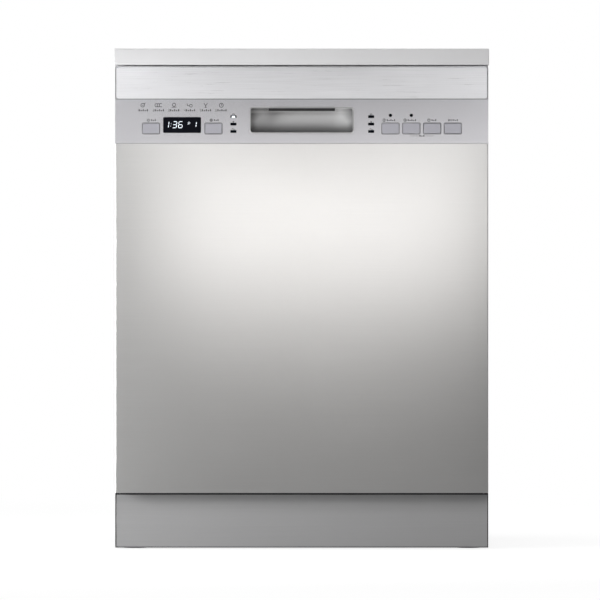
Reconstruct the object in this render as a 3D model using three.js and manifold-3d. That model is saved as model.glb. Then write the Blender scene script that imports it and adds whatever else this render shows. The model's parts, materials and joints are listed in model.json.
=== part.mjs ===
// A 60 cm dishwasher that stands under or beside a worktop: cabinet, tub, water side,
// fold-down door with its control console, two racks and their runners.
// Millimetres, +Z up, the door's front faces -Y, the origin lies on the floor at the middle.

import * as THREE from 'three';
import { mergeVertices } from 'three/addons/utils/BufferGeometryUtils.js';
import Module from 'manifold-3d';

const wasm = await Module();
wasm.setup();

// Overall size
const width = 598;
const depth = 600;
const height = 800;

// Clearances shared by all pieces
const gap = 0.3;
const turnGap = 0.7;
const overrun = 1;
const weld = 0.001;

// Front view, from the floor up
const kickFloorGap = 1.6;
const kickHeight = 87;
const kickDoorGap = 1.6;
const consoleHeight = 123.8;
const worktopJoint = 1.5;
const worktopHeight = 26.4;
const worktopEdgeRadius = 2.5;

// Door
const doorDepth = 50;
const doorSideInset = 1;
const doorSheet = 0.8;
const doorEdgeRadius = 1.6;
const doorFlange = 8;
const doorBottomReturn = 38;
const doorTopReturn = 14;
const hingeFromFront = 25;
const hingeAboveDoorBottom = 5.8;

// Cabinet
const sealGap = 4;
const cabinetBackInset = 12;
const sideSheet = 0.8;
const sideRearFlange = 12;
const sideFloorGap = 12;
const rearSheet = 0.8;
const rearBeadHeight = 4;
const rearBeadWidth = 46;
const rearBeadSlope = 6;
const rearBeadPitch = 150;
const crossbarDepth = 36;
const crossbarSheet = 1.2;
const strikeHalfWidth = 14;
const strikeReach = 20;
const strikeThickness = 2.5;
const strikeLip = 5.5;
const strikeAboveCrossbar = 5.7;

// Kickplate
const kickSetback = 38;
const kickSheet = 1;
const kickTabHalfWidth = 15;
const kickTabInset = 119;
const kickTabHeight = 24;

// Base tray
const trayFloorGap = 14;
const trayTop = 96;
const trayWall = 3;
const trayFrontInset = 2;
const trayRibThickness = 5;
const trayRibInset = 49;
const trayRibEndInset = 20;
const trayBossRadius = 15;
const trayBossHeight = 52;

// Screw feet
const footSideInset = 31;
const footPlaceFront = 28;
const footPlaceBack = 32;
const footPadRadius = 20;
const footPadEdge = 5;
const footPadHeight = 9;
const footPadTopRadius = 13;
const footRodRadius = 5;
const footRodTop = 60;

// Tub
const tubSideRoom = 35;
const tubWall = 1.2;
const tubTopRoom = 31.6;
const tubLedge = 124;
const tubBasinDrop = 16;
const tubBasinInset = 36;
const tubBasinFront = 24;
const tubBasinRadius = 24;
const tubRearInset = 26;
const tubRadius = 30;
const tubFlangeSide = 17;
const tubFlangeTop = 10;
const tubFlangeBottom = 20;
const tubFlangeRadius = 12;
const tubBeadDepth = 3;
const tubBeadHalfHeight = 11;
const tubBeadFront = 60;
const tubBeadBack = 40;
const tubBeadShares = [0.2, 0.8];

// Seals at the tub's mouth
const gasketWidth = 9;
const gasketInset = 3;
const gasketRadius = 22;
const gasketBevel = 0.7;
const sillSealHeight = 10;
const sillSealDrop = 8;

// Sump, filter and softener
const sumpY = 10;
const sumpHoleRoom = 5;
const sumpFlangeWidth = 28;
const sumpFlangeUnderLedge = 2.5;
const sumpRadiusShare = 0.3947;
const sumpWall = 4;
const sumpBottom = 40;
const sumpChamfer = 3;
const sumpLedgeDrop = 5.5;
const sumpLedgeWidth = 1.3;
const sumpPostShare = 0.178;
const sumpPinRadius = 12;
const sumpPinHeight = 12;
const sumpSides = 24;
const portRadius = 14;
const portAboveSumpBottom = 18;
const portReach = 8;
const portRootShare = 0.75;
const filterPlateThickness = 1.5;
const filterXShare = 0.5;
const filterYShare = -0.289;
const filterRadiusShare = 0.333;
const filterSumpRoom = 8;
const filterArmRoom = 14;
const filterGripHeight = 8;
const filterGripHalfLength = 22;
const filterGripHalfWidth = 4;
const filterRimWidth = 3;
const gripEndShare = 0.9;
const filterRimHeight = 4;
const softenerWidthShare = 0.22;
const softenerDepthShare = 0.13;
const softenerBasinInset = 58;
const softenerPlaceShare = 0.2;
const softenerTubRoom = 8;
const softenerRadius = 14;
const neckRadius = 25;
const neckHoleGap = 3;
const neckHeight = 13;
const capRadius = 31;
const capAboveNeck = 7;
const capRoof = 4;
const capGripHalfLength = 24;
const capGripHalfWidth = 4;
const capGripHeight = 6;

// Pumps, inlet and outlet
const voluteRadius = 36;
const voluteLength = 26;
const motorRadius = 30;
const motorLengthShare = 0.254;
const motorCapRadius = 22;
const motorCapLength = 12;
const drainRadius = 22;
const drainLengthShare = 0.194;
const drainPipeRadius = 9;
const drainPipeBend = 30;
const outletSideInset = 94;
const outletStandOff = 10;
const inletSideInset = 94;
const inletHeight = 60;
const inletThreadRadius = 12;
const inletFlangeRadius = 20;
const inletFlangeThickness = 5;
const inletBodyRadius = 14;
const inletBodyLength = 44;
const inletCoilHalf = 13;
const inletCoilHeight = 26;
const rearHoleGap = 2;

// Spray system
const feedHalfWidth = 17;
const feedHalfThickness = 6;
const feedBend = 22;
const showerRadius = 34;
const showerHeight = 15;
const dockRadius = 10;
const dockReach = 5;
const armThickness = 11;
const armHubRadius = 24;
const armHubRise = 3;
const armRootHalfWidth = 17;
const armTipRadius = 15;
const armSweep = 10;
const armMiddleShare = 0.5;
const armBevel = 2;
const nozzleRadius = 2.6;
const nozzleShares = [0.4, 0.66, 0.92];
const lowerArmWallRoom = 42.8;
const lowerArmAboveLedge = 7;
const upperArmWallRoom = 54.8;
const upperArmY = 0;
const feedTubeRadius = 8.5;
const feedBossRadius = 15;
const feedPinRadius = 8;
const feedPinHead = 12;
const feedPinHeadHeight = 2.5;

// Rack wire
const wireRadius = 2.1;
const wireSides = 4;
const wireBite = 0.8;
const wireBend = 14;
const rimHalf = 2.6;
const rimRadius = 26;

// Upper rack and its telescopic rails
const upperRackPlaceShare = 0.5065;
const upperRackHeight = 111;
const upperRackSideRoom = 48.8;
const upperRackFlare = 17;
const upperRackFront = 14;
const upperRackBack = 32;
const upperRackLean = 12;
const upperTineShares = [-0.5, 0.5];
const upperTineHeight = 58;
const upperTineLean = 10;
const railAboveRack = 55;
const railHalfHeight = 13.5;
const railWall = 1.5;
const railDepth = 13;
const railFront = 6;
const railBack = 18;
const slideDepth = 16;
const slideFront = 10;
const slideBack = 30;
const rollerInner = 4;
const rollerFromBack = 58.9;
const rollerPitch = 192;
const rollerPlateHalf = 12;
const rollerPlateThickness = 3;
const rollerAxleRadius = 3.5;

// Lower rack, wheels and cutlery basket
const lowerRackAboveLedge = 28;
const lowerRackHeight = 106;
const lowerRackSideRoom = 36.8;
const lowerRackFlare = 17;
const lowerRackFrontBottom = 64;
const lowerRackFrontTop = 15;
const lowerRackBackBottom = 38;
const lowerRackBackTop = 26;
const lowerTineShares = [-0.72, -0.2];
const lowerTineHeight = 78;
const lowerTineLean = 12;
const wheelRadius = 18;
const wheelHalfWidth = 4;
const wheelWallRoom = 28.8;
const wheelY = 121;
const wheelHubRadius = 7;
const wheelGroove = 1.5;
const axleRadius = 3.5;
const axleHead = 5.5;
const axleHeadThickness = 1.6;
const forkHalf = 11;
const forkThickness = 6;
const basketRackInset = 74;
const basketY = -10;
const basketHalfWidth = 56;
const basketHalfDepth = 112;
const basketHeight = 104;
const basketWall = 2;
const basketRadius = 14;
const basketSlotHalf = 3.5;
const basketSlotInset = 16;
const basketHandleRadius = 3.5;
const basketHandleRise = 34;

// Console moulding
const consoleWall = 2.8;
const consoleSideWall = 2.5;
const consoleRearLip = 5;
const consoleCorner = 6;
const trimHeightShare = 0.412;
const trimFrame = 1.6;
const trimThickness = 1.2;
const trimCorner = 4.5;
const boardPostRadius = 3;

// Handle recess and latch
const recessWidthShare = 0.2726;
const recessBottom = 17.6;
const recessHeight = 39.2;
const recessDepth = 31;
const recessWall = 1.8;
const recessCorner = 3;
const leverWidthShare = 0.6528;
const leverShow = 4.6;
const leverThickness = 3;
const leverBarrelRadius = 3.5;
const leverPivotAboveRecess = 11;
const leverPivotFromFront = 14;
const leverSwingRoom = 5;
const latchHalfWidth = 28;
const latchFront = 8;
const latchSlotHalfWidth = 16;
const latchSlotDepth = 9;
const latchSlotHeight = 12;

// Display, indicator lights and buttons, heights above the console's lower edge
const displayPlaceShare = -0.639;
const displayWidthShare = 0.1015;
const displayBottom = 16.9;
const displayHeight = 25.4;
const lensFlange = 1.5;
const lensFlangeThickness = 1.5;
const lightWidthShare = 0.0164;
const lightHalfHeight = 2.25;
const lightBottom = 19.2;
const lightPitch = 11.85;
const leftLightShare = -0.3649;
const rightLightShare = 0.3706;
const dotRadius = 2.5;
const dotHeight = 45;
const lightBarThickness = 2.5;
const lightBarHalf = 2.4;
const displayBarHeight = 39.2;
const buttonWidthShare = 0.0441;
const buttonHalfHeight = 8.1;
const buttonCorner = 1.5;
const buttonHeight = 24;
const buttonFlange = 1.5;
const buttonFlangeThickness = 1.5;
const buttonTravel = 1;
const buttonStemRadius = 2.5;
const buttonPlaceShares = [-0.805, -0.4716, 0.4736, 0.5853, 0.6967, 0.807];
const boardFromFront = 11;
const boardThickness = 1.6;
const boardRecessRoom = 13.5;
const boardSideRoom = 36;
const boardBottom = 4.5;
const boardTop = 52;
const boardBridge = 8.5;

// Inner liner of the door
const linerSheet = 0.8;
const linerReturn = 11;
const linerBottomInset = 1.3;
const linerRadius = 10;
const linerNotch = 10;
const linerNotchInset = 6;
const linerPanelSideRoom = 34.8;
const linerPanelLift = 16;
const linerPanelDrop = 10;
const linerPanelRise = 3;
const linerPanelSlope = 4;
const linerPanelRadius = 26;

// Hinges
const armPlateThickness = 2.5;
const armEyeRadius = 7;
const armHalfWidth = 15;
const armTopHeight = 240;
const hingePinRadius = 4;
const bracketPlateThickness = 2.5;
const bracketEyeRadius = 6.5;
const bracketFlangeWidth = 18;
const bracketFromArm = 1.5;

// Dispenser
const dispenserHalfWidth = 86;
const dispenserLift = 150;
const dispenserHeight = 112;
const dispenserDepth = 30;
const dispenserFlange = 5;
const dispenserFlangeThickness = 1.5;
const dispenserRadius = 12;
const cupX = -36;
const cupHalfWidth = 34;
const cupBottom = 12;
const cupHeight = 84;
const cupDepth = 24;
const cupRadius = 10;
const lidMargin = 4;
const lidThickness = 3;
const lidBarrelRadius = 3;
const rinseX = 45;
const rinseHeight = 56;
const rinseRadius = 19;
const rinseBodyDepth = 10;
const rinseCapRise = 5;
const rinseGripHalfLength = 15;
const rinseGripHalfWidth = 3;
const rinseGripHeight = 4;

// Levels and planes worked out from the sizes above
const front = -depth / 2;
const back = depth / 2;
const side = width / 2;
const worktopBottom = height - worktopHeight;
const doorTop = worktopBottom - worktopJoint;
const doorBottom = kickFloorGap + kickHeight + kickDoorGap;
const consoleBottom = doorTop - consoleHeight;
const doorSide = side - doorSideInset;
const doorBack = front + doorDepth;
const hingeY = front + hingeFromFront;
const hingeZ = doorBottom + hingeAboveDoorBottom;
const cabinetFront = doorBack + sealGap;
const cabinetBack = back - cabinetBackInset;
const cabinetTop = worktopBottom - gap;
const insideSide = side - sideSheet - gap;
const rearPanelBack = cabinetBack - sideSheet - gap;
const rearPanelFront = rearPanelBack - rearSheet;
const kickTabPlace = side - kickTabInset;
const trayRibPlace = side - trayRibInset;
const footPlaceX = side - footSideInset;
const tubHalfWidth = side - tubSideRoom;
const tubTop = worktopBottom - tubTopRoom;
const tubHeight = tubTop - tubLedge;
const tubBasinHalfWidth = tubHalfWidth - tubBasinInset;
const tubBeadPlaces = tubBeadShares.map((share) => tubLedge + share * tubHeight);
const tubInside = tubHalfWidth - tubWall;
const tubBack = rearPanelFront - tubRearInset;
const tubInsideBack = tubBack - tubWall;
const tubInsideTop = tubTop - tubWall;
const tubFloor = tubLedge - tubBasinDrop;
const tubFlangeHalf = tubHalfWidth + tubFlangeSide;
const tubFlangeUpper = tubTop + tubFlangeTop;
const tubFlangeLower = tubLedge - tubFlangeBottom;
const tubUnderside = tubFloor - tubWall;
const trayFloor = trayFloorGap + trayWall;
const trayFront = cabinetFront + trayFrontInset;
const trayBack = rearPanelFront - gap;
const linerFace = doorBack - linerSheet;
const linerHalf = doorSide - doorFlange - gap;
const linerPanelFace = doorBack + linerPanelRise;
const linerPanelHalfWidth = tubInside - linerPanelSideRoom;
const linerPanelBottom = tubLedge + linerPanelLift;
const linerPanelTop = tubTop - linerPanelDrop;
const dispenserBottom = linerPanelBottom + dispenserLift;
const linerTop = doorTop - consoleSideWall - consoleRearLip + gap;
const railPlane = tubInside - gap;
const sumpRadius = tubBasinHalfWidth * sumpRadiusShare;
const sumpPostRadius = sumpRadius * sumpPostShare;
const sumpFlangeThickness = sumpLedgeDrop + sumpFlangeUnderLedge;
const sumpHoleRadius = sumpRadius + sumpHoleRoom;
const sumpFlangeRadius = sumpRadius + sumpFlangeWidth;
const sumpLedgeRadius = sumpRadius + sumpLedgeWidth;
const portHeight = sumpBottom + portAboveSumpBottom;
const lowerArmBottom = tubLedge + lowerArmAboveLedge;
const filterX = sumpRadius * filterXShare;
const filterY = sumpRadius * filterYShare;
const filterRadius = sumpRadius * filterRadiusShare;
const filterRimRadius = filterRadius + filterRimWidth;
const filterBottom = sumpBottom + filterSumpRoom;
const filterTop = lowerArmBottom - filterArmRoom;
const softenerTop = tubFloor - softenerTubRoom;
const neckTop = softenerTop + neckHeight;
const capTop = neckTop + capAboveNeck;
const softenerHalfWidth = tubBasinHalfWidth * softenerWidthShare;
const softenerHalfDepth = depth * softenerDepthShare;
const softenerX = softenerBasinInset - tubBasinHalfWidth;
const softenerY = cabinetFront + depth * softenerPlaceShare;
const motorLength = side * motorLengthShare;
const drainLength = side * drainLengthShare;
const outletX = side - outletSideInset;
const inletX = inletSideInset - side;
const lowerArmReach = tubInside - lowerArmWallRoom;
const upperArmReach = tubInside - upperArmWallRoom;
const upperRackBottom = tubLedge + tubHeight * upperRackPlaceShare;
const upperRackTop = upperRackBottom + upperRackHeight;
const upperRackHalfBottom = tubInside - upperRackSideRoom;
const upperRackHalfTop = upperRackHalfBottom + upperRackFlare;
const railHeight = upperRackBottom + railAboveRack;
const rollerBackY = tubInsideBack - rollerFromBack;
const rollerFrontY = rollerBackY - rollerPitch;
const lowerRackBottom = tubLedge + lowerRackAboveLedge;
const lowerRackTop = lowerRackBottom + lowerRackHeight;
const lowerRackHalfBottom = tubInside - lowerRackSideRoom;
const lowerRackHalfTop = lowerRackHalfBottom + lowerRackFlare;
const wheelX = tubInside - wheelWallRoom;
const basketX = lowerRackHalfBottom - basketRackInset;
const trimHeight = consoleHeight * trimHeightShare;
const recessHalfWidth = side * recessWidthShare;
const leverHalfWidth = recessHalfWidth * leverWidthShare;
const displayX = side * displayPlaceShare;
const displayHalfWidth = side * displayWidthShare;
const lightHalfWidth = side * lightWidthShare;
const leftLightX = side * leftLightShare;
const rightLightX = side * rightLightShare;
const buttonHalfWidth = side * buttonWidthShare;
const buttonPlaces = buttonPlaceShares.map((share) => share * side);
const boardInner = recessHalfWidth + boardRecessRoom;
const boardOuter = side - boardSideRoom;
const wireHalf = wireRadius * Math.cos(Math.PI / wireSides);

// Helpers that turn three.js geometries into solids and back
function solid(geometry) {
  const bare = geometry.clone();
  bare.deleteAttribute('normal');
  bare.deleteAttribute('uv');
  const merged = mergeVertices(bare, weld);
  const positions = merged.attributes.position.array;
  const corners = [];
  for (let i = 0; i < merged.index.count; i += 3) {
    const [a, b, c] = [0, 1, 2].map((k) => merged.index.array[i + k]);
    if (a !== b && b !== c && c !== a) corners.push([a, b, c]);
  }
  const at = (i) => new THREE.Vector3().fromArray(positions, i * 3);
  const volume = corners.reduce((sum, [a, b, c]) => sum + at(a).dot(at(b).cross(at(c))), 0);
  const outward = volume < 0 ? corners.map(([a, b, c]) => [a, c, b]) : corners;
  return new wasm.Manifold(new wasm.Mesh({
    numProp: 3,
    vertProperties: new Float32Array(positions),
    triVerts: new Uint32Array(outward.flat()),
  }));
}

function join(...solids) {
  return solids.flat().reduce((all, next) => all.add(next));
}

function geometryOf(shape) {
  const mesh = shape.getMesh();
  const indexed = new THREE.BufferGeometry();
  indexed.setAttribute('position', new THREE.BufferAttribute(mesh.vertProperties, 3));
  indexed.setIndex(new THREE.BufferAttribute(mesh.triVerts, 1));
  const flat = indexed.toNonIndexed();
  flat.computeVertexNormals();
  return flat;
}

// Outlines
function polygon(points) {
  return new THREE.Shape(points.map(([a, b]) => new THREE.Vector2(a, b)));
}

function roundedInto(path, a0, a1, b0, b1, r) {
  path.moveTo(a0 + r, b0);
  path.lineTo(a1 - r, b0);
  path.absarc(a1 - r, b0 + r, r, -Math.PI / 2, 0);
  path.lineTo(a1, b1 - r);
  path.absarc(a1 - r, b1 - r, r, 0, Math.PI / 2);
  path.lineTo(a0 + r, b1);
  path.absarc(a0 + r, b1 - r, r, Math.PI / 2, Math.PI);
  path.lineTo(a0, b0 + r);
  path.absarc(a0 + r, b0 + r, r, Math.PI, Math.PI * 1.5);
  return path;
}

function rounded(a0, a1, b0, b1, r) {
  return roundedInto(new THREE.Shape(), a0, a1, b0, b1, r);
}

// Straight extrusions along the three axes
const basisX = new THREE.Matrix4().makeBasis(
  new THREE.Vector3(0, 1, 0), new THREE.Vector3(0, 0, 1), new THREE.Vector3(1, 0, 0));
const basisY = new THREE.Matrix4().makeBasis(
  new THREE.Vector3(1, 0, 0), new THREE.Vector3(0, 0, 1), new THREE.Vector3(0, -1, 0));

function extruded(shape, length, segments, bevel) {
  const bevelled = bevel > 0;
  const geometry = new THREE.ExtrudeGeometry(shape, {
    depth: bevelled ? length - 2 * bevel : length,
    curveSegments: segments,
    bevelEnabled: bevelled,
    bevelSize: bevel,
    bevelThickness: bevel,
    bevelOffset: -bevel,
    bevelSegments: 1,
  });
  return bevelled ? geometry.translate(0, 0, bevel) : geometry;
}

// The outline lies in the YZ plane
function alongX(shape, x0, x1, segments = 4, bevel = 0) {
  return solid(extruded(shape, x1 - x0, segments, bevel).applyMatrix4(basisX).translate(x0, 0, 0));
}

// The outline lies in the XZ plane
function alongY(shape, y0, y1, segments = 4, bevel = 0) {
  return solid(extruded(shape, y1 - y0, segments, bevel).applyMatrix4(basisY).translate(0, y1, 0));
}

// The outline lies in the XY plane
function alongZ(shape, z0, z1, segments = 4, bevel = 0) {
  return solid(extruded(shape, z1 - z0, segments, bevel).translate(0, 0, z0));
}

function block(x0, x1, y0, y1, z0, z1) {
  const [xs, ys, zs] = [[x0, x1], [y0, y1], [z0, z1]];
  const box = new THREE.BoxGeometry(...[xs, ys, zs].map(([a, b]) => Math.abs(b - a)));
  return solid(box.translate(...[xs, ys, zs].map(([a, b]) => (a + b) / 2)));
}

// A round bar between two points
function bar(from, to, radius, sides = 12) {
  const [a, b] = [new THREE.Vector3(...from), new THREE.Vector3(...to)];
  const run = b.clone().sub(a);
  const geometry = new THREE.CylinderGeometry(radius, radius, run.length(), sides);
  const up = new THREE.Vector3(0, 1, 0);
  geometry.applyQuaternion(new THREE.Quaternion().setFromUnitVectors(up, run.normalize()));
  return solid(geometry.translate(...a.add(b).multiplyScalar(0.5).toArray()));
}

// A turned piece about a vertical axis; the profile's points are radius and height
function turned(profile, x, y, sides = 20, start = 0) {
  const points = profile.map(([r, z]) => new THREE.Vector2(r, z));
  const geometry = new THREE.LatheGeometry(points, sides, start);
  return solid(geometry.rotateX(Math.PI / 2).translate(x, y, 0));
}

// A turned piece about an axis along X
function turnedX(profile, y, z, sides = 20) {
  const geometry = new THREE.LatheGeometry(profile.map(([r, x]) => new THREE.Vector2(r, x)), sides);
  return solid(geometry.rotateZ(-Math.PI / 2).translate(0, y, z));
}

// A path whose stations are given points, for bent wire and pipe
class BentPath extends THREE.Curve {
  constructor(stations) {
    super();
    this.stations = stations;
  }

  getPoint(t) {
    return this.stations[Math.round(t * (this.stations.length - 1))].clone();
  }

  getPointAt(t) {
    return this.getPoint(t);
  }

  getTangentAt(t) {
    const last = this.stations.length - 1;
    const i = Math.round(t * last);
    const here = this.stations[i];
    const way = new THREE.Vector3();
    if (i > 0) way.add(here.clone().sub(this.stations[i - 1]).normalize());
    if (i < last) way.add(this.stations[i + 1].clone().sub(here).normalize());
    return way.normalize();
  }
}

function bentStations(points, bend, steps) {
  const corners = points.map((p) => new THREE.Vector3(...p));
  const stations = [corners[0]];
  for (let i = 1; i < corners.length - 1; i += 1) {
    const before = corners[i - 1].clone().sub(corners[i]).normalize().multiplyScalar(bend);
    const after = corners[i + 1].clone().sub(corners[i]).normalize().multiplyScalar(bend);
    const curve = new THREE.QuadraticBezierCurve3(
      corners[i].clone().add(before), corners[i], corners[i].clone().add(after));
    stations.push(...curve.getPoints(steps));
  }
  stations.push(corners.at(-1));
  return stations;
}

function swept(section, points, bend, steps) {
  const stations = bend > 0
    ? bentStations(points, bend, steps)
    : points.map((p) => new THREE.Vector3(...p));
  return solid(new THREE.ExtrudeGeometry(section, {
    steps: stations.length - 1,
    extrudePath: new BentPath(stations),
    curveSegments: 2,
  }));
}

function circle(radius, sides) {
  const turn = (2 * Math.PI) / sides;
  return polygon(Array.from({ length: sides }, (_, i) =>
    [radius * Math.cos((i + 0.5) * turn), radius * Math.sin((i + 0.5) * turn)]));
}

function wire(points, bend = wireBend) {
  return swept(circle(wireRadius, wireSides), points, bend, 1);
}

function spread(from, to, count) {
  return Array.from({ length: count }, (_, i) => from + ((to - from) * i) / (count - 1));
}

// Finishes
const finishes = {
  steel: { color: 0xc9c7c2, metalness: 0.9, roughness: 0.35 },
  inlay: { color: 0xdcdcde, metalness: 0.9, roughness: 0.3 },
  tubSteel: { color: 0xc4c6c8, metalness: 1, roughness: 0.25 },
  zinc: { color: 0xa9acb0, metalness: 1, roughness: 0.45 },
  silver: { color: 0xb4b3b9, metalness: 0.3, roughness: 0.45 },
  worktop: { color: 0xcfd0d0, metalness: 0.3, roughness: 0.4 },
  kick: { color: 0x98989a, metalness: 0.5, roughness: 0.5 },
  button: { color: 0xb3b2bb, metalness: 0.2, roughness: 0.4 },
  dark: { color: 0x17181c, metalness: 0, roughness: 0.25 },
  black: { color: 0x2a2b2d, metalness: 0, roughness: 0.6 },
  grey: { color: 0x7d8084, metalness: 0, roughness: 0.6 },
  white: { color: 0xe4e5e6, metalness: 0, roughness: 0.5 },
  rubber: { color: 0x3a3b3d, metalness: 0, roughness: 0.85 },
  board: { color: 0x2c5a3c, metalness: 0.1, roughness: 0.5 },
  rackWire: { color: 0xb9bcc0, metalness: 0.2, roughness: 0.5 },
};

const dishwasher = new THREE.Group();

function place(parent, name, shape, finish, position = [0, 0, 0]) {
  const mesh = new THREE.Mesh(geometryOf(shape), new THREE.MeshStandardMaterial(finishes[finish]));
  mesh.name = name;
  mesh.position.set(...position);
  parent.add(mesh);
}

const cabinet = new THREE.Group();
const waterSide = new THREE.Group();
const door = new THREE.Group();
const racks = new THREE.Group();
dishwasher.add(cabinet, waterSide, door, racks);
const sides = [['left', -1], ['right', 1]];

// Cabinet: worktop, sides, rear, crossbar, kickplate
function makeWorktop() {
  const r = worktopEdgeRadius;
  return alongX(rounded(front, back, worktopBottom, height, r), -side, side, 3);
}

// A folded sheet with a flange at the front, notched for the hinge, and one at the back
function makeSidePanel(s) {
  const inner = side - sideSheet;
  const frontEdge = tubFlangeHalf + gap;
  const sheet = alongZ(polygon([
    [s * frontEdge, cabinetFront],
    [s * side, cabinetFront],
    [s * side, cabinetBack],
    [s * (side - sideRearFlange), cabinetBack],
    [s * (side - sideRearFlange), cabinetBack - sideSheet],
    [s * inner, cabinetBack - sideSheet],
    [s * inner, cabinetFront + sideSheet],
    [s * frontEdge, cabinetFront + sideSheet],
  ]), sideFloorGap, cabinetTop);
  const notchHalf = bracketEyeRadius + 2 * kickDoorGap;
  const notch = block(
    s * (frontEdge - overrun), s * (linerHalf + overrun),
    cabinetFront - overrun, cabinetFront + sideSheet + overrun,
    hingeZ - notchHalf, hingeZ + notchHalf);
  return sheet.subtract(notch);
}

// A sheet with upright beads pressed outwards, and holes for the inlet and outlet
function makeRearPanel() {
  const beads = [-rearBeadPitch, 0, rearBeadPitch];
  const line = (y) => beads.flatMap((x) => [
    [x - rearBeadWidth / 2 - rearBeadSlope, y],
    [x - rearBeadWidth / 2, y + rearBeadHeight],
    [x + rearBeadWidth / 2, y + rearBeadHeight],
    [x + rearBeadWidth / 2 + rearBeadSlope, y],
  ]);
  const outline = [
    [-insideSide, rearPanelFront],
    ...line(rearPanelFront),
    [insideSide, rearPanelFront],
    [insideSide, rearPanelBack],
    ...line(rearPanelBack).reverse(),
    [-insideSide, rearPanelBack],
  ];
  const sheet = alongZ(polygon(outline), sideFloorGap, cabinetTop);
  const hole = (x, z, r) => bar([x, rearPanelFront - overrun, z], [x, back, z], r + rearHoleGap, 16);
  return sheet
    .subtract(hole(inletX, inletHeight, inletThreadRadius))
    .subtract(hole(outletX, portHeight, drainPipeRadius));
}

// A folded rail under the worktop that carries the strike for the door latch
function makeCrossbar() {
  const t = crossbarSheet;
  const bottom = tubFlangeUpper + gap;
  const rear = cabinetFront + crossbarDepth;
  const rail = alongX(polygon([
    [cabinetFront, bottom],
    [cabinetFront, cabinetTop],
    [rear, cabinetTop],
    [rear, bottom],
    [rear - t, bottom],
    [rear - t, cabinetTop - t],
    [cabinetFront + t, cabinetTop - t],
    [cabinetFront + t, bottom],
  ]), -tubFlangeHalf, tubFlangeHalf);
  const z = bottom + strikeAboveCrossbar;
  const tip = cabinetFront - strikeReach;
  const tongue = block(-strikeHalfWidth, strikeHalfWidth, tip, cabinetFront + t, z, z + strikeThickness);
  const lip = block(
    -strikeHalfWidth, strikeHalfWidth, tip, tip + strikeThickness, z + strikeThickness - strikeLip, z + t);
  return join(rail, tongue, lip);
}

// A shallow pan with two tabs that reach back to the base tray
function makeKickplate() {
  const kickFront = front + kickSetback;
  const kickBack = cabinetFront - gap;
  const top = kickFloorGap + kickHeight;
  const t = kickSheet;
  const pan = block(-side, side, kickFront, kickBack, kickFloorGap, top)
    .subtract(block(-side + t, side - t, kickFront + t, kickBack + overrun, kickFloorGap + t, top - t));
  const middle = kickFloorGap + kickHeight / 2;
  const tabs = [-kickTabPlace, kickTabPlace].map((x) => block(
    x - kickTabHalfWidth, x + kickTabHalfWidth, kickFront + t / 2, trayFront - gap,
    middle - kickTabHeight / 2, middle + kickTabHeight / 2));
  return join(pan, tabs);
}

// Base tray with two ribs that carry the tub and four bosses for the feet
function footPlaces() {
  return [
    ['front_left', -footPlaceX, trayFront + footPlaceFront],
    ['front_right', footPlaceX, trayFront + footPlaceFront],
    ['rear_left', -footPlaceX, trayBack - footPlaceBack],
    ['rear_right', footPlaceX, trayBack - footPlaceBack],
  ];
}

function makeBaseTray() {
  const w = trayWall;
  const pan = block(-insideSide, insideSide, trayFront, trayBack, trayFloorGap, trayTop).subtract(
    block(-insideSide + w, insideSide - w, trayFront + w, trayBack - w, trayFloor, trayTop + overrun));
  const ribTop = tubLedge - tubWall - gap;
  const ribs = [-trayRibPlace, trayRibPlace].map((x) => block(
    x - trayRibThickness / 2, x + trayRibThickness / 2,
    trayFront + trayRibEndInset, tubBack - trayRibEndInset, trayFloorGap + w / 2, ribTop));
  const bosses = footPlaces().map(([, x, y]) => bar(
    [x, y, trayFloorGap], [x, y, trayFloorGap + trayBossHeight], trayBossRadius, 12));
  const bores = footPlaces().map(([, x, y]) => bar(
    [x, y, trayFloorGap - overrun], [x, y, footRodTop + overrun], footRodRadius + gap, 12));
  const rearHole = (x, z, r) => bar([x, trayBack - 2 * w, z], [x, back, z], r + rearHoleGap, 12);
  return join(pan, ribs, bosses)
    .subtract(join(bores))
    .subtract(rearHole(inletX, inletHeight, inletFlangeRadius))
    .subtract(rearHole(outletX, portHeight, drainPipeRadius));
}

function makeFoot() {
  return turned([
    [0, 0],
    [footPadRadius, 0],
    [footPadRadius, footPadEdge],
    [footPadTopRadius, footPadHeight],
    [footRodRadius, footPadHeight],
    [footRodRadius, footRodTop],
    [0, footRodTop],
  ], 0, 0, 12);
}

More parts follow.
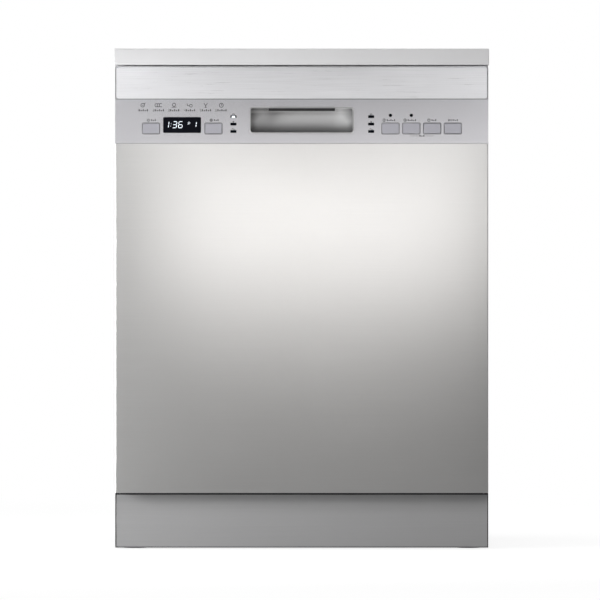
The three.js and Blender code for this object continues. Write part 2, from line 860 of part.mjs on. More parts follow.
// Tub: a pressed steel box with a mouth flange, a ledge for the wheels and a sunk basin
function makeTub() {
  const t = tubWall;
  const ledge = tubLedge;
  const shell = alongY(rounded(-tubHalfWidth, tubHalfWidth, ledge - t, tubTop, tubRadius),
    cabinetFront, tubBack);
  const hollow = alongY(rounded(-tubInside, tubInside, ledge, tubInsideTop, tubRadius - t),
    cabinetFront - overrun, tubInsideBack);
  const basinFront = cabinetFront + tubBasinFront;
  const basin = (grow, rear, top, bottom) => alongZ(rounded(
    -tubBasinHalfWidth - grow, tubBasinHalfWidth + grow, basinFront - grow, rear,
    tubBasinRadius + grow), bottom, top);
  const flange = alongY(rounded(
    -tubFlangeHalf, tubFlangeHalf, tubFlangeLower, tubFlangeUpper, tubFlangeRadius),
  cabinetFront, cabinetFront + t);
  const beadHalf = tubBeadHalfHeight;
  const beadBlocks = (x0, x1, half) => sides.flatMap(([, s]) => tubBeadPlaces.map((z) => block(
    s * x0, s * x1, cabinetFront + tubBeadFront - half, tubBack - tubBeadBack + half,
    z - half, z + half)));
  const outside = join(shell, flange, basin(t, tubBack, ledge, tubUnderside),
    beadBlocks(tubInside, tubHalfWidth + tubBeadDepth, beadHalf + t));
  const inside = join(hollow, basin(0, tubInsideBack, ledge + overrun, tubFloor),
    beadBlocks(tubInside - overrun, tubInside + tubBeadDepth, beadHalf));
  const sumpHole = bar([0, sumpY, 0], [0, sumpY, ledge - t], sumpHoleRadius, 28);
  const neckHole = bar(
    [softenerX, softenerY, 0], [softenerX, softenerY, ledge - t], neckRadius + neckHoleGap, 16);
  return outside.subtract(inside).subtract(sumpHole).subtract(neckHole);
}

// The door gasket runs up both sides of the tub's mouth and across its top
function makeGasket() {
  const outer = tubHalfWidth + tubFlangeSide - gasketInset;
  const inner = outer - gasketWidth;
  const top = tubFlangeUpper - gasketInset;
  const bottom = tubLedge;
  const shape = new THREE.Shape();
  const [r, ri] = [gasketRadius, gasketRadius - gasketWidth];
  shape.moveTo(outer, bottom);
  shape.lineTo(outer, top - r);
  shape.absarc(outer - r, top - r, r, 0, Math.PI / 2);
  shape.lineTo(-outer + r, top);
  shape.absarc(-outer + r, top - r, r, Math.PI / 2, Math.PI);
  shape.lineTo(-outer, bottom);
  shape.lineTo(-inner, bottom);
  shape.lineTo(-inner, top - r);
  shape.absarc(-inner + ri, top - r, ri, Math.PI, Math.PI / 2, true);
  shape.lineTo(inner - ri, top - gasketWidth);
  shape.absarc(inner - ri, top - r, ri, Math.PI / 2, 0, true);
  shape.lineTo(inner, bottom);
  return alongY(shape, doorBack + gap, cabinetFront - gap, 5, gasketBevel);
}

function makeSillSeal() {
  const top = tubLedge - sillSealDrop;
  return alongX(rounded(
    doorBack + gap, cabinetFront - gap, top - sillSealHeight, top, gasketBevel),
  -tubInside, tubInside, 2);
}

// Water side
function makeSump() {
  const w = sumpWall;
  const top = tubUnderside - gap;
  const ledge = top - sumpLedgeDrop;
  const cup = turned([
    [0, sumpBottom],
    [sumpRadius - sumpChamfer, sumpBottom],
    [sumpRadius, sumpBottom + sumpChamfer],
    [sumpRadius, top - sumpFlangeThickness],
    [sumpFlangeRadius, top - sumpFlangeThickness],
    [sumpFlangeRadius, top],
    [sumpLedgeRadius, top],
    [sumpLedgeRadius, ledge],
    [sumpRadius - w, ledge],
    [sumpRadius - w, sumpBottom + w],
    [sumpPostRadius, sumpBottom + w],
    [sumpPostRadius, lowerArmBottom - gap],
    [sumpPinRadius, lowerArmBottom - gap],
    [sumpPinRadius, lowerArmBottom + sumpPinHeight],
    [0, lowerArmBottom + sumpPinHeight],
  ], 0, sumpY, sumpSides, Math.PI / sumpSides);
  const ports = sides.map(([, s]) => bar(
    [s * (sumpRadius - w * portRootShare), sumpY, portHeight],
    [s * (sumpRadius + portReach), sumpY, portHeight],
    portRadius, 12));
  return join(cup, ports);
}

function makeFilterPlate() {
  const bottom = tubUnderside - sumpLedgeDrop;
  const top = bottom + filterPlateThickness;
  const radius = sumpLedgeRadius * Math.cos(Math.PI / sumpSides) - gap;
  const disc = bar([0, sumpY, bottom], [0, sumpY, top], radius, 28);
  const hole = (x, y, r) => bar([x, y, bottom - overrun], [x, y, top + overrun], r, 20);
  return disc
    .subtract(hole(0, sumpY, sumpPostRadius + overrun))
    .subtract(hole(filterX, sumpY + filterY, filterRadius + turnGap));
}

function makeFilterCylinder() {
  const rim = tubUnderside - sumpLedgeDrop + filterPlateThickness + gap;
  const body = turned([
    [0, filterBottom],
    [filterRadius, filterBottom],
    [filterRadius, rim],
    [filterRimRadius, rim],
    [filterRimRadius, rim + filterRimHeight],
    [filterRadius - filterRimHeight, filterTop],
    [0, filterTop],
  ], 0, 0, 20);
  const grip = alongZ(rounded(
    -filterGripHalfLength, filterGripHalfLength, -filterGripHalfWidth, filterGripHalfWidth,
    filterGripHalfWidth * gripEndShare), filterTop - overrun, filterTop + filterGripHeight, 3);
  return join(body, grip);
}

function makeSoftener() {
  const tank = alongZ(rounded(
    softenerX - softenerHalfWidth, softenerX + softenerHalfWidth,
    softenerY - softenerHalfDepth, softenerY + softenerHalfDepth, softenerRadius),
  trayFloor + gap, softenerTop, 4);
  const neck = turned([
    [0, softenerTop - overrun],
    [neckRadius, softenerTop - overrun],
    [neckRadius, neckTop],
    [0, neckTop],
  ], softenerX, softenerY, 20);
  return join(tank, neck);
}

function makeSaltCap() {
  const inner = neckRadius + turnGap;
  const shell = turned([
    [0, neckTop + gap],
    [inner, neckTop + gap],
    [inner, tubFloor + gap],
    [capRadius, tubFloor + gap],
    [capRadius, capTop - capRoof / 2],
    [capRadius - capRoof / 2, capTop],
    [0, capTop],
  ], 0, 0, 20);
  const grip = alongZ(rounded(
    -capGripHalfLength, capGripHalfLength, -capGripHalfWidth, capGripHalfWidth,
    capGripHalfWidth * gripEndShare), capTop - overrun, capTop + capGripHeight, 3);
  return join(shell, grip);
}

function makeCirculationPump() {
  const start = -(sumpRadius + portReach + gap);
  const volute = start - voluteLength;
  const motor = volute - motorLength;
  return turnedX([
    [0, motor - motorCapLength],
    [motorCapRadius, motor - motorCapLength],
    [motorCapRadius, motor],
    [motorRadius, motor],
    [motorRadius, volute],
    [voluteRadius, volute],
    [voluteRadius, start - sumpChamfer],
    [voluteRadius - sumpChamfer, start],
    [0, start],
  ], sumpY, portHeight, 16);
}

// The drain pump's pipe leaves through the rear panel as the outlet spigot
function makeDrainPump() {
  const start = sumpRadius + portReach + gap;
  const body = turnedX([
    [0, start],
    [drainRadius - sumpWall, start],
    [drainRadius, start + sumpWall],
    [drainRadius, start + drainLength],
    [0, start + drainLength],
  ], sumpY, portHeight, 14);
  const pipe = swept(circle(drainPipeRadius, 10), [
    [start + drainLength - sumpWall, sumpY, portHeight],
    [outletX, sumpY, portHeight],
    [outletX, cabinetBack + outletStandOff, portHeight],
  ], drainPipeBend, 4);
  return join(body, pipe);
}

// Inlet valve with its threaded neck through the rear panel
function makeInletValve() {
  const flangeBack = rearPanelFront - gap;
  const flangeFront = flangeBack - inletFlangeThickness;
  const valve = (y0, y1, r) => bar([inletX, y0, inletHeight], [inletX, y1, inletHeight], r, 14);
  const coilFront = flangeFront - inletBodyLength + inletCoilHalf;
  return join(
    valve(flangeFront, cabinetBack + outletStandOff, inletThreadRadius),
    valve(flangeFront, flangeBack, inletFlangeRadius),
    valve(flangeFront - inletBodyLength, flangeFront + overrun, inletBodyRadius),
    block(inletX - inletCoilHalf, inletX + inletCoilHalf, coilFront - inletCoilHalf,
      coilFront + inletCoilHalf, inletHeight, inletHeight + inletCoilHeight),
  );
}

// A flat pipe from the sump's post up the rear wall to a shower head under the tub's roof
const upperTubeZ = upperRackBottom - 2 * wireBite * wireRadius - wireHalf - gap - feedTubeRadius;

function makeFeedPipe() {
  const t = feedHalfThickness;
  const low = tubFloor + gap + t;
  const rear = tubInsideBack - gap - t;
  const high = tubInsideTop - gap - t;
  const section = rounded(-t, t, -feedHalfWidth, feedHalfWidth, t - gap);
  const pipe = swept(section, [
    [0, sumpY + sumpPostRadius + gap, low],
    [0, rear, low],
    [0, rear, high],
    [0, -t, high],
  ], feedBend, 5);
  const head = turned([
    [0, high - showerHeight],
    [showerRadius / 2, high - showerHeight],
    [showerRadius, high - showerHeight / 2],
    [showerRadius, high + t / 2],
    [0, high + t / 2],
  ], 0, 0, 20);
  const dock = bar([0, rear - t - dockReach, upperTubeZ], [0, rear, upperTubeZ], dockRadius, 14);
  return join(pipe, head, dock);
}

// A spray arm: two swept blades round a hub, with nozzle holes along each blade
function makeSprayArm(reach, bore) {
  const shape = new THREE.Shape();
  const [w, r] = [armRootHalfWidth, armTipRadius];
  const blade = (s) => {
    shape.quadraticCurveTo(s * reach * armMiddleShare, s * (-w - armSweep), s * (reach - r), s * -r);
    shape.absarc(s * (reach - r), 0, r, s > 0 ? -Math.PI / 2 : Math.PI / 2,
      s > 0 ? Math.PI / 2 : Math.PI * 1.5);
    shape.quadraticCurveTo(s * reach * armMiddleShare, s * (w - armSweep / 2), s * w, s * w);
    shape.lineTo(s * -w, s * w);
  };
  shape.moveTo(w, -w);
  blade(1);
  blade(-1);
  const body = alongZ(shape, 0, armThickness, 4, armBevel);
  const hub = turned([
    [0, 0],
    [armHubRadius, 0],
    [armHubRadius, armThickness],
    [armHubRadius - armHubRise, armThickness + armHubRise],
    [0, armThickness + armHubRise],
  ], 0, 0, 16);
  const cut = (x, y, radius, sidesOfCut) => bar(
    [x, y, armThickness / 2], [x, y, armThickness + 2 * armHubRise], radius, sidesOfCut);
  const nozzles = nozzleShares.flatMap((share, i) => [-1, 1].map((s) => cut(
    s * reach * share, s * (i % 2 === 0 ? armBevel : -armBevel), nozzleRadius, 6)));
  const hole = bar([0, 0, -overrun], [0, 0, armThickness + 2 * armHubRise], bore, 16);
  return join(body, hub).subtract(join(nozzles)).subtract(hole);
}

// Fixed rail on the tub's side wall, and the sliding member that runs in it
function makeRackRail(s) {
  const [h, t] = [railHalfHeight, railWall];
  const inner = railPlane - railDepth;
  return alongY(polygon([
    [s * inner, railHeight - h],
    [s * railPlane, railHeight - h],
    [s * railPlane, railHeight + h],
    [s * inner, railHeight + h],
    [s * inner, railHeight + h - t],
    [s * (railPlane - t), railHeight + h - t],
    [s * (railPlane - t), railHeight - h + t],
    [s * inner, railHeight - h + t],
  ]), cabinetFront + railFront, tubInsideBack - railBack);
}

const slideOuter = railPlane - railWall - gap;
const slideHalfHeight = railHalfHeight - railWall - gap;

function makeSlideRail(s) {
  const [h, t] = [slideHalfHeight, railWall];
  const inner = slideOuter - slideDepth;
  return alongY(polygon([
    [s * inner, railHeight - h],
    [s * slideOuter, railHeight - h],
    [s * slideOuter, railHeight + h],
    [s * inner, railHeight + h],
    [s * inner, railHeight + h - t],
    [s * (slideOuter - t), railHeight + h - t],
    [s * (slideOuter - t), railHeight - h + t],
    [s * inner, railHeight - h + t],
  ]), cabinetFront + slideFront, tubInsideBack - slideBack);
}

// A basket of bent wire: cross wires and long wires bent up at their ends, and a rim
function wireBasket(b) {
  const lower = b.bottom - wireRadius * 2 * wireBite;
  const crossY = spread(b.frontBottom, b.backBottom, b.crossCount);
  const longX = spread(-b.halfBottom, b.halfBottom, b.longCount);
  const cross = crossY.map((y) => wire([
    [-b.halfTop, y, b.top],
    [-b.halfBottom - wireRadius, y, b.bottom],
    [b.halfBottom + wireRadius, y, b.bottom],
    [b.halfTop, y, b.top],
  ]));
  const long = longX.map((x) => wire([
    [x, b.frontTop, b.top],
    [x, b.frontBottom - wireRadius, lower],
    [x, b.backBottom + wireRadius, lower],
    [x, b.backTop, b.top],
  ]));
  const ring = (grow) => [
    -b.halfTop - grow, b.halfTop + grow, b.frontTop - grow, b.backTop + grow, rimRadius + grow];
  const rim = rounded(...ring(rimHalf));
  rim.holes.push(roundedInto(new THREE.Path(), ...ring(-rimHalf)));
  const tines = b.tineX.flatMap((x) => crossY.slice(1, -1).map((y) => wire([
    [x, y, b.bottom],
    [x + b.tineLean, y, b.bottom + b.tineHeight],
  ], 0)));
  return join(cross, long, tines, alongZ(rim, b.top - rimHalf, b.top + rimHalf, 3));
}

function makeUpperRack() {
  const basket = wireBasket({
    bottom: upperRackBottom,
    top: upperRackTop,
    halfBottom: upperRackHalfBottom,
    halfTop: upperRackHalfTop,
    frontBottom: cabinetFront + upperRackFront + upperRackLean,
    frontTop: cabinetFront + upperRackFront,
    backBottom: tubInsideBack - upperRackBack - upperRackLean,
    backTop: tubInsideBack - upperRackBack,
    crossCount: 10,
    longCount: 5,
    tineX: upperTineShares.map((share) => share * upperRackHalfBottom),
    tineLean: upperTineLean,
    tineHeight: upperTineHeight,
  });
  const rollerRadius = slideHalfHeight - railWall - gap;
  const rollers = sides.flatMap(([, s]) => [rollerFrontY, rollerBackY].map((y) => {
    const web = slideOuter - railWall - gap;
    const inner = slideOuter - slideDepth + rollerInner;
    const plate = upperRackHalfBottom;
    const roller = bar([s * inner, y, railHeight], [s * web, y, railHeight], rollerRadius, 14);
    const axle = bar([s * plate, y, railHeight], [s * web, y, railHeight], rollerAxleRadius, 8);
    return join(roller, axle);
  }));
  const plates = sides.map(([, s]) => block(
    s * (upperRackHalfTop - rollerPlateThickness), s * upperRackHalfTop,
    rollerFrontY - rollerPlateHalf, rollerBackY + rollerPlateHalf,
    railHeight - rollerPlateHalf, upperRackTop));
  return join(basket, rollers, plates);
}

// Clipped under the upper rack: takes water from the dock to the upper arm's pivot
const upperArmTop = upperTubeZ - feedTubeRadius - gap;

function makeUpperFeedTube() {
  const dockFace = tubInsideBack - gap - 2 * feedHalfThickness - dockReach;
  const tube = bar([0, dockFace - gap, upperTubeZ], [0, upperArmY, upperTubeZ], feedTubeRadius, 14);
  const pinBottom = upperArmTop - armThickness - armHubRise - gap;
  const hub = turned([
    [0, pinBottom - feedPinHeadHeight],
    [feedPinHead, pinBottom - feedPinHeadHeight],
    [feedPinHead, pinBottom],
    [feedPinRadius, pinBottom],
    [feedPinRadius, upperArmTop + gap],
    [feedBossRadius, upperArmTop + gap],
    [feedBossRadius, upperTubeZ + feedTubeRadius / 2],
    [0, upperTubeZ + feedTubeRadius / 2],
  ], 0, upperArmY, 16);
  return join(tube, hub);
}

function makeLowerRack() {
  const basket = wireBasket({
    bottom: lowerRackBottom,
    top: lowerRackTop,
    halfBottom: lowerRackHalfBottom,
    halfTop: lowerRackHalfTop,
    frontBottom: cabinetFront + lowerRackFrontBottom,
    frontTop: cabinetFront + lowerRackFrontTop,
    backBottom: tubInsideBack - lowerRackBackBottom,
    backTop: tubInsideBack - lowerRackBackTop,
    crossCount: 11,
    longCount: 5,
    tineX: lowerTineShares.map((share) => share * lowerRackHalfBottom),
    tineLean: lowerTineLean,
    tineHeight: lowerTineHeight,
  });
  const axleZ = tubLedge + gap + wheelRadius;
  const axles = sides.flatMap(([, s]) => [-wheelY, wheelY].map((y) => {
    const inner = wheelX - wheelHalfWidth - gap - forkThickness;
    const outer = wheelX + wheelHalfWidth + gap;
    const fork = block(s * inner, s * (inner + forkThickness), y - forkHalf, y + forkHalf,
      axleZ - axleHead, lowerRackBottom + wireRadius);
    const axle = bar([s * inner, y, axleZ], [s * (outer + overrun), y, axleZ], axleRadius, 8);
    const head = bar([s * outer, y, axleZ], [s * (outer + axleHeadThickness), y, axleZ], axleHead, 10);
    const tie = block(s * (lowerRackHalfBottom - forkThickness), s * (inner + overrun),
      y - forkHalf, y + forkHalf, lowerRackBottom - wireRadius, lowerRackBottom + wireRadius);
    return join(fork, axle, head, tie);
  }));
  const runners = sides.map(([, s]) => wire([
    [s * (lowerRackHalfBottom - forkThickness), cabinetFront + lowerRackFrontBottom, lowerRackBottom],
    [s * (lowerRackHalfBottom - forkThickness), tubInsideBack - lowerRackBackBottom, lowerRackBottom],
  ], 0));
  return join(basket, axles, runners);
}

function makeWheel() {
  const [h, r] = [wheelHalfWidth, wheelRadius];
  const bore = axleRadius + gap;
  return turnedX([
    [bore, -h],
    [wheelHubRadius, -h],
    [wheelHubRadius + wheelGroove, -h + wheelGroove],
    [r - 2 * wheelGroove, -h + wheelGroove],
    [r - wheelGroove, -h],
    [r, -h + wheelGroove],
    [r, h - wheelGroove],
    [r - wheelGroove, h],
    [bore, h],
    [bore, -h],
  ], 0, 0, 14);
}

// An open box with slotted walls, one divider and a bail handle
function makeBasket() {
  const [a, b, w] = [basketHalfWidth, basketHalfDepth, basketWall];
  const base = lowerRackBottom + wireHalf + gap;
  const top = base + basketHeight;
  const box = (inset, z0, z1) => alongZ(rounded(
    -a + inset, a - inset, -b + inset, b - inset, basketRadius - inset), z0, z1, 3);
  const cell = (y0, y1) => alongZ(rounded(-a + w, a - w, y0, y1, basketRadius - w),
    base + w, top + overrun, 3);
  const shell = box(0, base, top)
    .subtract(cell(-b + w, -w / 2))
    .subtract(cell(w / 2, b - w));
  const slotZ = [base + basketSlotInset, top - basketSlotInset];
  const longSlots = spread(-b + 2 * basketSlotInset, b - 2 * basketSlotInset, 6)
    .map((y) => block(-a - overrun, a + overrun, y - basketSlotHalf, y + basketSlotHalf, ...slotZ));
  const shortSlots = spread(-a + basketSlotInset, a - basketSlotInset, 3)
    .map((x) => block(x - basketSlotHalf, x + basketSlotHalf, -b - overrun, b + overrun, ...slotZ));
  const floorSlots = spread(-b + 2 * basketSlotInset, b - 2 * basketSlotInset, 4)
    .map((y) => block(-a + basketSlotInset, a - basketSlotInset, y - basketSlotHalf,
      y + basketSlotHalf, base - overrun, base + w + overrun));
  const handle = swept(circle(basketHandleRadius, 8), [
    [0, -b + basketHandleRadius, top - basketSlotInset / 2],
    [0, -b + basketHandleRadius, top + basketHandleRise],
    [0, b - basketHandleRadius, top + basketHandleRise],
    [0, b - basketHandleRadius, top - basketSlotInset / 2],
  ], basketSlotInset, 3);
  return shell.subtract(join(longSlots, shortSlots)).subtract(join(floorSlots)).add(handle);
}

// Door: the stainless outer panel is a folded sheet, open towards the tub
function makeOuterPanel() {
  const [t, r] = [doorSheet, doorEdgeRadius];
  const top = consoleBottom - gap;
  const fold = (s) => {
    const arc = [1, 2, 3].map((k) => (Math.PI / 2) * (k / 4));
    const corner = (radius) => arc.map((u) => [
      s * (doorSide - r + radius * Math.sin(u)), front + r - radius * Math.cos(u)]);
    return { outer: corner(r), inner: corner(r - t) };
  };
  const [left, right] = [fold(-1), fold(1)];
  const half = (s, corner) => [
    [s * (doorSide - r), front],
    ...corner.outer,
    [s * doorSide, front + r],
    [s * doorSide, doorBack],
    [s * (doorSide - doorFlange), doorBack],
    [s * (doorSide - doorFlange), doorBack - t],
    [s * (doorSide - t), doorBack - t],
    [s * (doorSide - t), front + r],
    ...corner.inner.slice().reverse(),
    [s * (doorSide - r), front + t],
  ];
  const skin = alongZ(polygon([...half(1, right), ...half(-1, left).reverse()]), doorBottom, top);
  const returnHalf = doorSide - 2 * r;
  const bottomReturn = block(-linerHalf + linerNotch, linerHalf - linerNotch,
    front + t / 2, front + doorBottomReturn, doorBottom + gap, doorBottom + gap + t);
  const topReturn = block(-returnHalf, returnHalf,
    front + t / 2, front + doorTopReturn, top - gap - t, top - gap);
  return join(skin, bottomReturn, topReturn);
}

// Heights on the console are counted from its lower edge
const onConsole = (h) => consoleBottom + h;

function consoleWindows(grow) {
  const windows = [];
  const window = (x, halfWidth, z0, z1, r) => windows.push(
    rounded(x - halfWidth - grow, x + halfWidth + grow, z0 - grow, z1 + grow, r + grow));
  window(displayX, displayHalfWidth - gap, onConsole(displayBottom) + gap,
    onConsole(displayBottom + displayHeight) - gap, buttonCorner);
  for (const x of [leftLightX, rightLightX]) {
    for (let k = 0; k < 3; k += 1) {
      const z = onConsole(lightBottom + k * lightPitch);
      window(x, lightHalfWidth - gap, z - lightHalfHeight + gap, z + lightHalfHeight - gap, buttonCorner / 3);
    }
  }
  for (const x of buttonPlaces) {
    const z = onConsole(buttonHeight);
    window(x, buttonHalfWidth, z - buttonHalfHeight, z + buttonHalfHeight, buttonCorner);
  }
  return windows;
}

// Silver moulding with a pocket for the trim strip, windows and an open back
function makeConsole() {
  const w = consoleSideWall;
  const wallBack = front + consoleWall;
  const outline = rounded(-doorSide, doorSide, consoleBottom, doorTop, consoleCorner);
  const squareFoot = block(-doorSide, doorSide, front, doorBack,
    consoleBottom, consoleBottom + 2 * consoleCorner);
  const body = alongY(outline, front, doorBack, 4).add(squareFoot);
  const cavity = block(-doorSide + w, doorSide - w, wallBack, doorBack - w,
    consoleBottom + w, doorTop - w);
  const mouth = block(-linerHalf - gap, linerHalf + gap,
    doorBack - linerReturn - gap, doorBack + overrun,
    consoleBottom - overrun, linerTop + gap);
  const pocket = alongY(rounded(
    -doorSide + trimFrame, doorSide - trimFrame, doorTop - trimFrame - trimHeight,
    doorTop - trimFrame, trimCorner), front - overrun, front + trimThickness + gap, 4);
  const windows = consoleWindows(gap).map((shape) => alongY(shape, front - overrun, wallBack + overrun, 1));
  const opening = alongY(rounded(
    -recessHalfWidth - recessWall - gap, recessHalfWidth + recessWall + gap,
    onConsole(recessBottom) - recessWall - gap, onConsole(recessBottom + recessHeight) + recessWall + gap,
    recessCorner + recessWall), front - overrun, wallBack + overrun, 3);
  const dots = dotPlaces().map((x) => bar(
    [x, front - overrun, onConsole(dotHeight)], [x, wallBack + overrun, onConsole(dotHeight)],
    dotRadius + gap, 12));
  const boardFront = front + boardFromFront;
  const posts = sides.flatMap(([, s]) => [
    [s * (boardOuter - boardPostRadius), boardTop - boardPostRadius],
    [s * (boardInner + boardPostRadius), boardBottom + boardPostRadius],
  ]).map(([x, h]) => bar(
    [x, wallBack - overrun, onConsole(h)], [x, boardFront - gap, onConsole(h)], boardPostRadius, 6));
  return body
    .subtract(cavity)
    .subtract(mouth)
    .subtract(pocket)
    .subtract(join(windows, dots))
    .subtract(opening)
    .add(join(posts));
}

function dotPlaces() {
  return buttonPlaces.slice(2, 4);
}

function makeTrimStrip() {
  const inset = trimFrame + gap;
  return alongY(rounded(
    -doorSide + inset, doorSide - inset, doorTop - trimFrame - trimHeight + gap,
    doorTop - inset, trimCorner - gap), front, front + trimThickness, 4);
}

// Scooped finger recess: the back wall curves forward to the lower edge
function makeRecess() {
  const [z0, z1] = [onConsole(recessBottom), onConsole(recessBottom + recessHeight)];
  const w = recessWall;
  const scoop = (grow) => {
    const curve = Array.from({ length: 9 }, (_, k) => (Math.PI / 2) * (k / 8));
    return curve.map((u) => [
      front + (recessDepth + grow) * Math.sin(u), z1 - (recessHeight + grow) * Math.cos(u)]);
  };
  const tunnel = (grow) => alongY(rounded(-recessHalfWidth - grow, recessHalfWidth + grow,
    z0 - grow, z1 + grow, recessCorner + grow), front - overrun, front + recessDepth + w + overrun, 3);
  const outer = alongX(polygon([
    ...scoop(w),
    [front + recessDepth + w, z1 + w],
    [front, z1 + w],
  ]), -recessHalfWidth - w, recessHalfWidth + w).intersect(tunnel(w));
  const inner = alongX(polygon([
    [front - overrun, z0],
    ...scoop(0),
    [front - overrun, z1],
  ]), -recessHalfWidth, recessHalfWidth).intersect(tunnel(0));
  const pivot = front + leverPivotFromFront;
  const slot = block(-leverHalfWidth - overrun, leverHalfWidth + overrun,
    pivot - leverThickness - leverSwingRoom, pivot + leverThickness, z1 - overrun, z1 + w + overrun);
  return outer.subtract(inner).subtract(slot);
}

const leverPivotY = front + leverPivotFromFront;
const leverPivotZ = onConsole(recessBottom + recessHeight) + leverPivotAboveRecess;

// Modelled about its pivot
function makeLever() {
  const blade = block(-leverHalfWidth, leverHalfWidth, -leverBarrelRadius, leverThickness - leverBarrelRadius,
    -leverPivotAboveRecess - leverShow, 0);
  const barrel = bar([-leverHalfWidth, 0, 0], [leverHalfWidth, 0, 0], leverBarrelRadius, 12);
  return join(blade, barrel);
}

// Latch housing: the strike enters its slot from behind, the lever's barrel lies below
function makeLatch() {
  const rear = doorBack - linerReturn - gap;
  const top = doorTop - consoleSideWall - gap;
  const bottom = leverPivotZ - leverBarrelRadius;
  const housing = block(-latchHalfWidth, latchHalfWidth, front + latchFront, rear, bottom, top);
  const strikeZ = tubFlangeUpper + gap + strikeAboveCrossbar;
  const slot = block(-latchSlotHalfWidth, latchSlotHalfWidth, rear - latchSlotDepth, rear + overrun,
    strikeZ + strikeThickness / 2 - latchSlotHeight / 2, strikeZ + strikeThickness / 2 + latchSlotHeight / 2);
  const barrel = bar([-latchHalfWidth - overrun, leverPivotY, leverPivotZ],
    [latchHalfWidth + overrun, leverPivotY, leverPivotZ], leverBarrelRadius + gap, 12);
  const sweep = block(-latchHalfWidth - overrun, latchHalfWidth + overrun,
    leverPivotY - leverBarrelRadius - leverSwingRoom / 2, leverPivotY + leverBarrelRadius + gap,
    bottom - overrun, leverPivotZ);
  return housing.subtract(slot).subtract(barrel).subtract(sweep);
}

function noses(shapes) {
  return shapes.map((shape) => alongY(shape, front, front + consoleWall + gap + overrun, 1));
}

// Behind the moulding, the noses of one lens share a flange
function lensFlangeBlock(x0, x1, z0, z1, thickness) {
  const face = front + consoleWall + gap;
  return block(x0, x1, face, face + thickness, z0, z1);
}

function lightColumn(x) {
  const low = onConsole(lightBottom) - lightHalfHeight - lensFlange;
  const high = onConsole(lightBottom + 2 * lightPitch) + lightHalfHeight + lensFlange;
  return lensFlangeBlock(x - lightHalfWidth - lensFlange, x + lightHalfWidth + lensFlange,
    low, high, lightBarThickness);
}

function makeDisplayLens() {
  const f = lensFlange;
  const flange = lensFlangeBlock(displayX - displayHalfWidth - f, displayX + displayHalfWidth + f,
    onConsole(displayBottom) - f, onConsole(displayBottom + displayHeight) + f, lensFlangeThickness);
  const tie = lensFlangeBlock(displayX, leftLightX,
    onConsole(displayBarHeight) - lightBarHalf, onConsole(displayBarHeight) + lightBarHalf,
    lightBarThickness);
  return join(noses(consoleWindows(0).slice(0, 4)), flange, lightColumn(leftLightX), tie);
}

function makeIndicatorLens() {
  const tie = lensFlangeBlock(rightLightX, dotPlaces()[1] + dotRadius + lensFlange,
    onConsole(dotHeight) - lightBarHalf, onConsole(dotHeight) + lightBarHalf, lightBarThickness);
  const dots = dotPlaces().map((x) => bar(
    [x, front, onConsole(dotHeight)],
    [x, front + consoleWall + gap + overrun, onConsole(dotHeight)], dotRadius, 12));
  return join(noses(consoleWindows(0).slice(4, 7)), lightColumn(rightLightX), tie, dots);
}

// Modelled about the middle of its face
function makeButton() {
  const wallBack = consoleWall + gap;
  const [a, b] = [buttonHalfWidth, buttonHalfHeight];
  const f = buttonFlange;
  const cap = alongY(rounded(-a, a, -b, b, buttonCorner), 0, wallBack + overrun, 1);
  const flange = block(-a - f, a + f, wallBack, wallBack + buttonFlangeThickness, -b - f, b + f);
  const stem = bar([0, wallBack, 0], [0, boardFromFront - gap - buttonTravel, 0], buttonStemRadius, 8);
  return join(cap, flange, stem);
}

// One board behind both groups of controls, joined by a bridge below the recess
function makeControlBoard() {
  const boardFront = front + boardFromFront;
  const [low, high, bridge] = [boardBottom, boardTop, boardBottom + boardBridge].map(onConsole);
  return alongY(polygon([
    [-boardOuter, low],
    [boardOuter, low],
    [boardOuter, high],
    [boardInner, high],
    [boardInner, bridge],
    [-boardInner, bridge],
    [-boardInner, high],
    [-boardOuter, high],
  ]), boardFront, boardFront + boardThickness);
}

// Inner liner: pressed sheet with an edge return, a raised panel and the dispenser's cut-out
function makeLiner() {
  const t = linerSheet;
  const bottom = doorBottom + linerBottomInset;
  const face = (inset, y0, y1) => alongY(rounded(-linerHalf + inset, linerHalf - inset,
    bottom + inset, linerTop - inset, linerRadius - inset), y0, y1, 3);
  const pan = face(0, doorBack - linerReturn, doorBack)
    .subtract(face(t, doorBack - linerReturn - overrun, linerFace));
  const raised = (grow, y0, y1) => {
    const p = linerPanelSlope;
    return alongY(rounded(-linerPanelHalfWidth - grow, linerPanelHalfWidth + grow,
      linerPanelBottom - grow, linerPanelTop + grow, linerPanelRadius + grow), y0, y1, 4, 0)
      .add(alongY(rounded(-linerPanelHalfWidth - p - grow, linerPanelHalfWidth + p + grow,
        linerPanelBottom - p - grow, linerPanelTop + p + grow, linerPanelRadius + p + grow),
      y0, y1 - linerPanelRise / 2, 4, 0));
  };
  const shell = pan
    .add(raised(0, linerFace, linerPanelFace))
    .subtract(raised(-t, linerFace - overrun, linerPanelFace - t));
  const corners = sides.map(([, s]) => block(
    s * (linerHalf - linerNotchInset), s * (linerHalf + overrun),
    doorBack - linerReturn - overrun, doorBack + overrun, bottom - overrun, hingeZ + linerNotch));
  const strikeZ = tubFlangeUpper + gap + strikeAboveCrossbar;
  const strikeNotch = block(-latchSlotHalfWidth, latchSlotHalfWidth,
    doorBack - linerReturn - overrun, doorBack + overrun,
    strikeZ + strikeThickness / 2 - latchSlotHeight / 2, doorTop);
  const cutOut = alongY(rounded(-dispenserHalfWidth - gap, dispenserHalfWidth + gap,
    dispenserBottom - gap, dispenserBottom + dispenserHeight + gap, dispenserRadius + gap),
  linerFace - overrun, linerPanelFace + overrun, 4);
  return shell.subtract(join(corners)).subtract(strikeNotch).subtract(cutOut);
}

// Hinge: a bracket with a pin on the base tray, and an eye plate on the door
const armInner = linerHalf + gap;

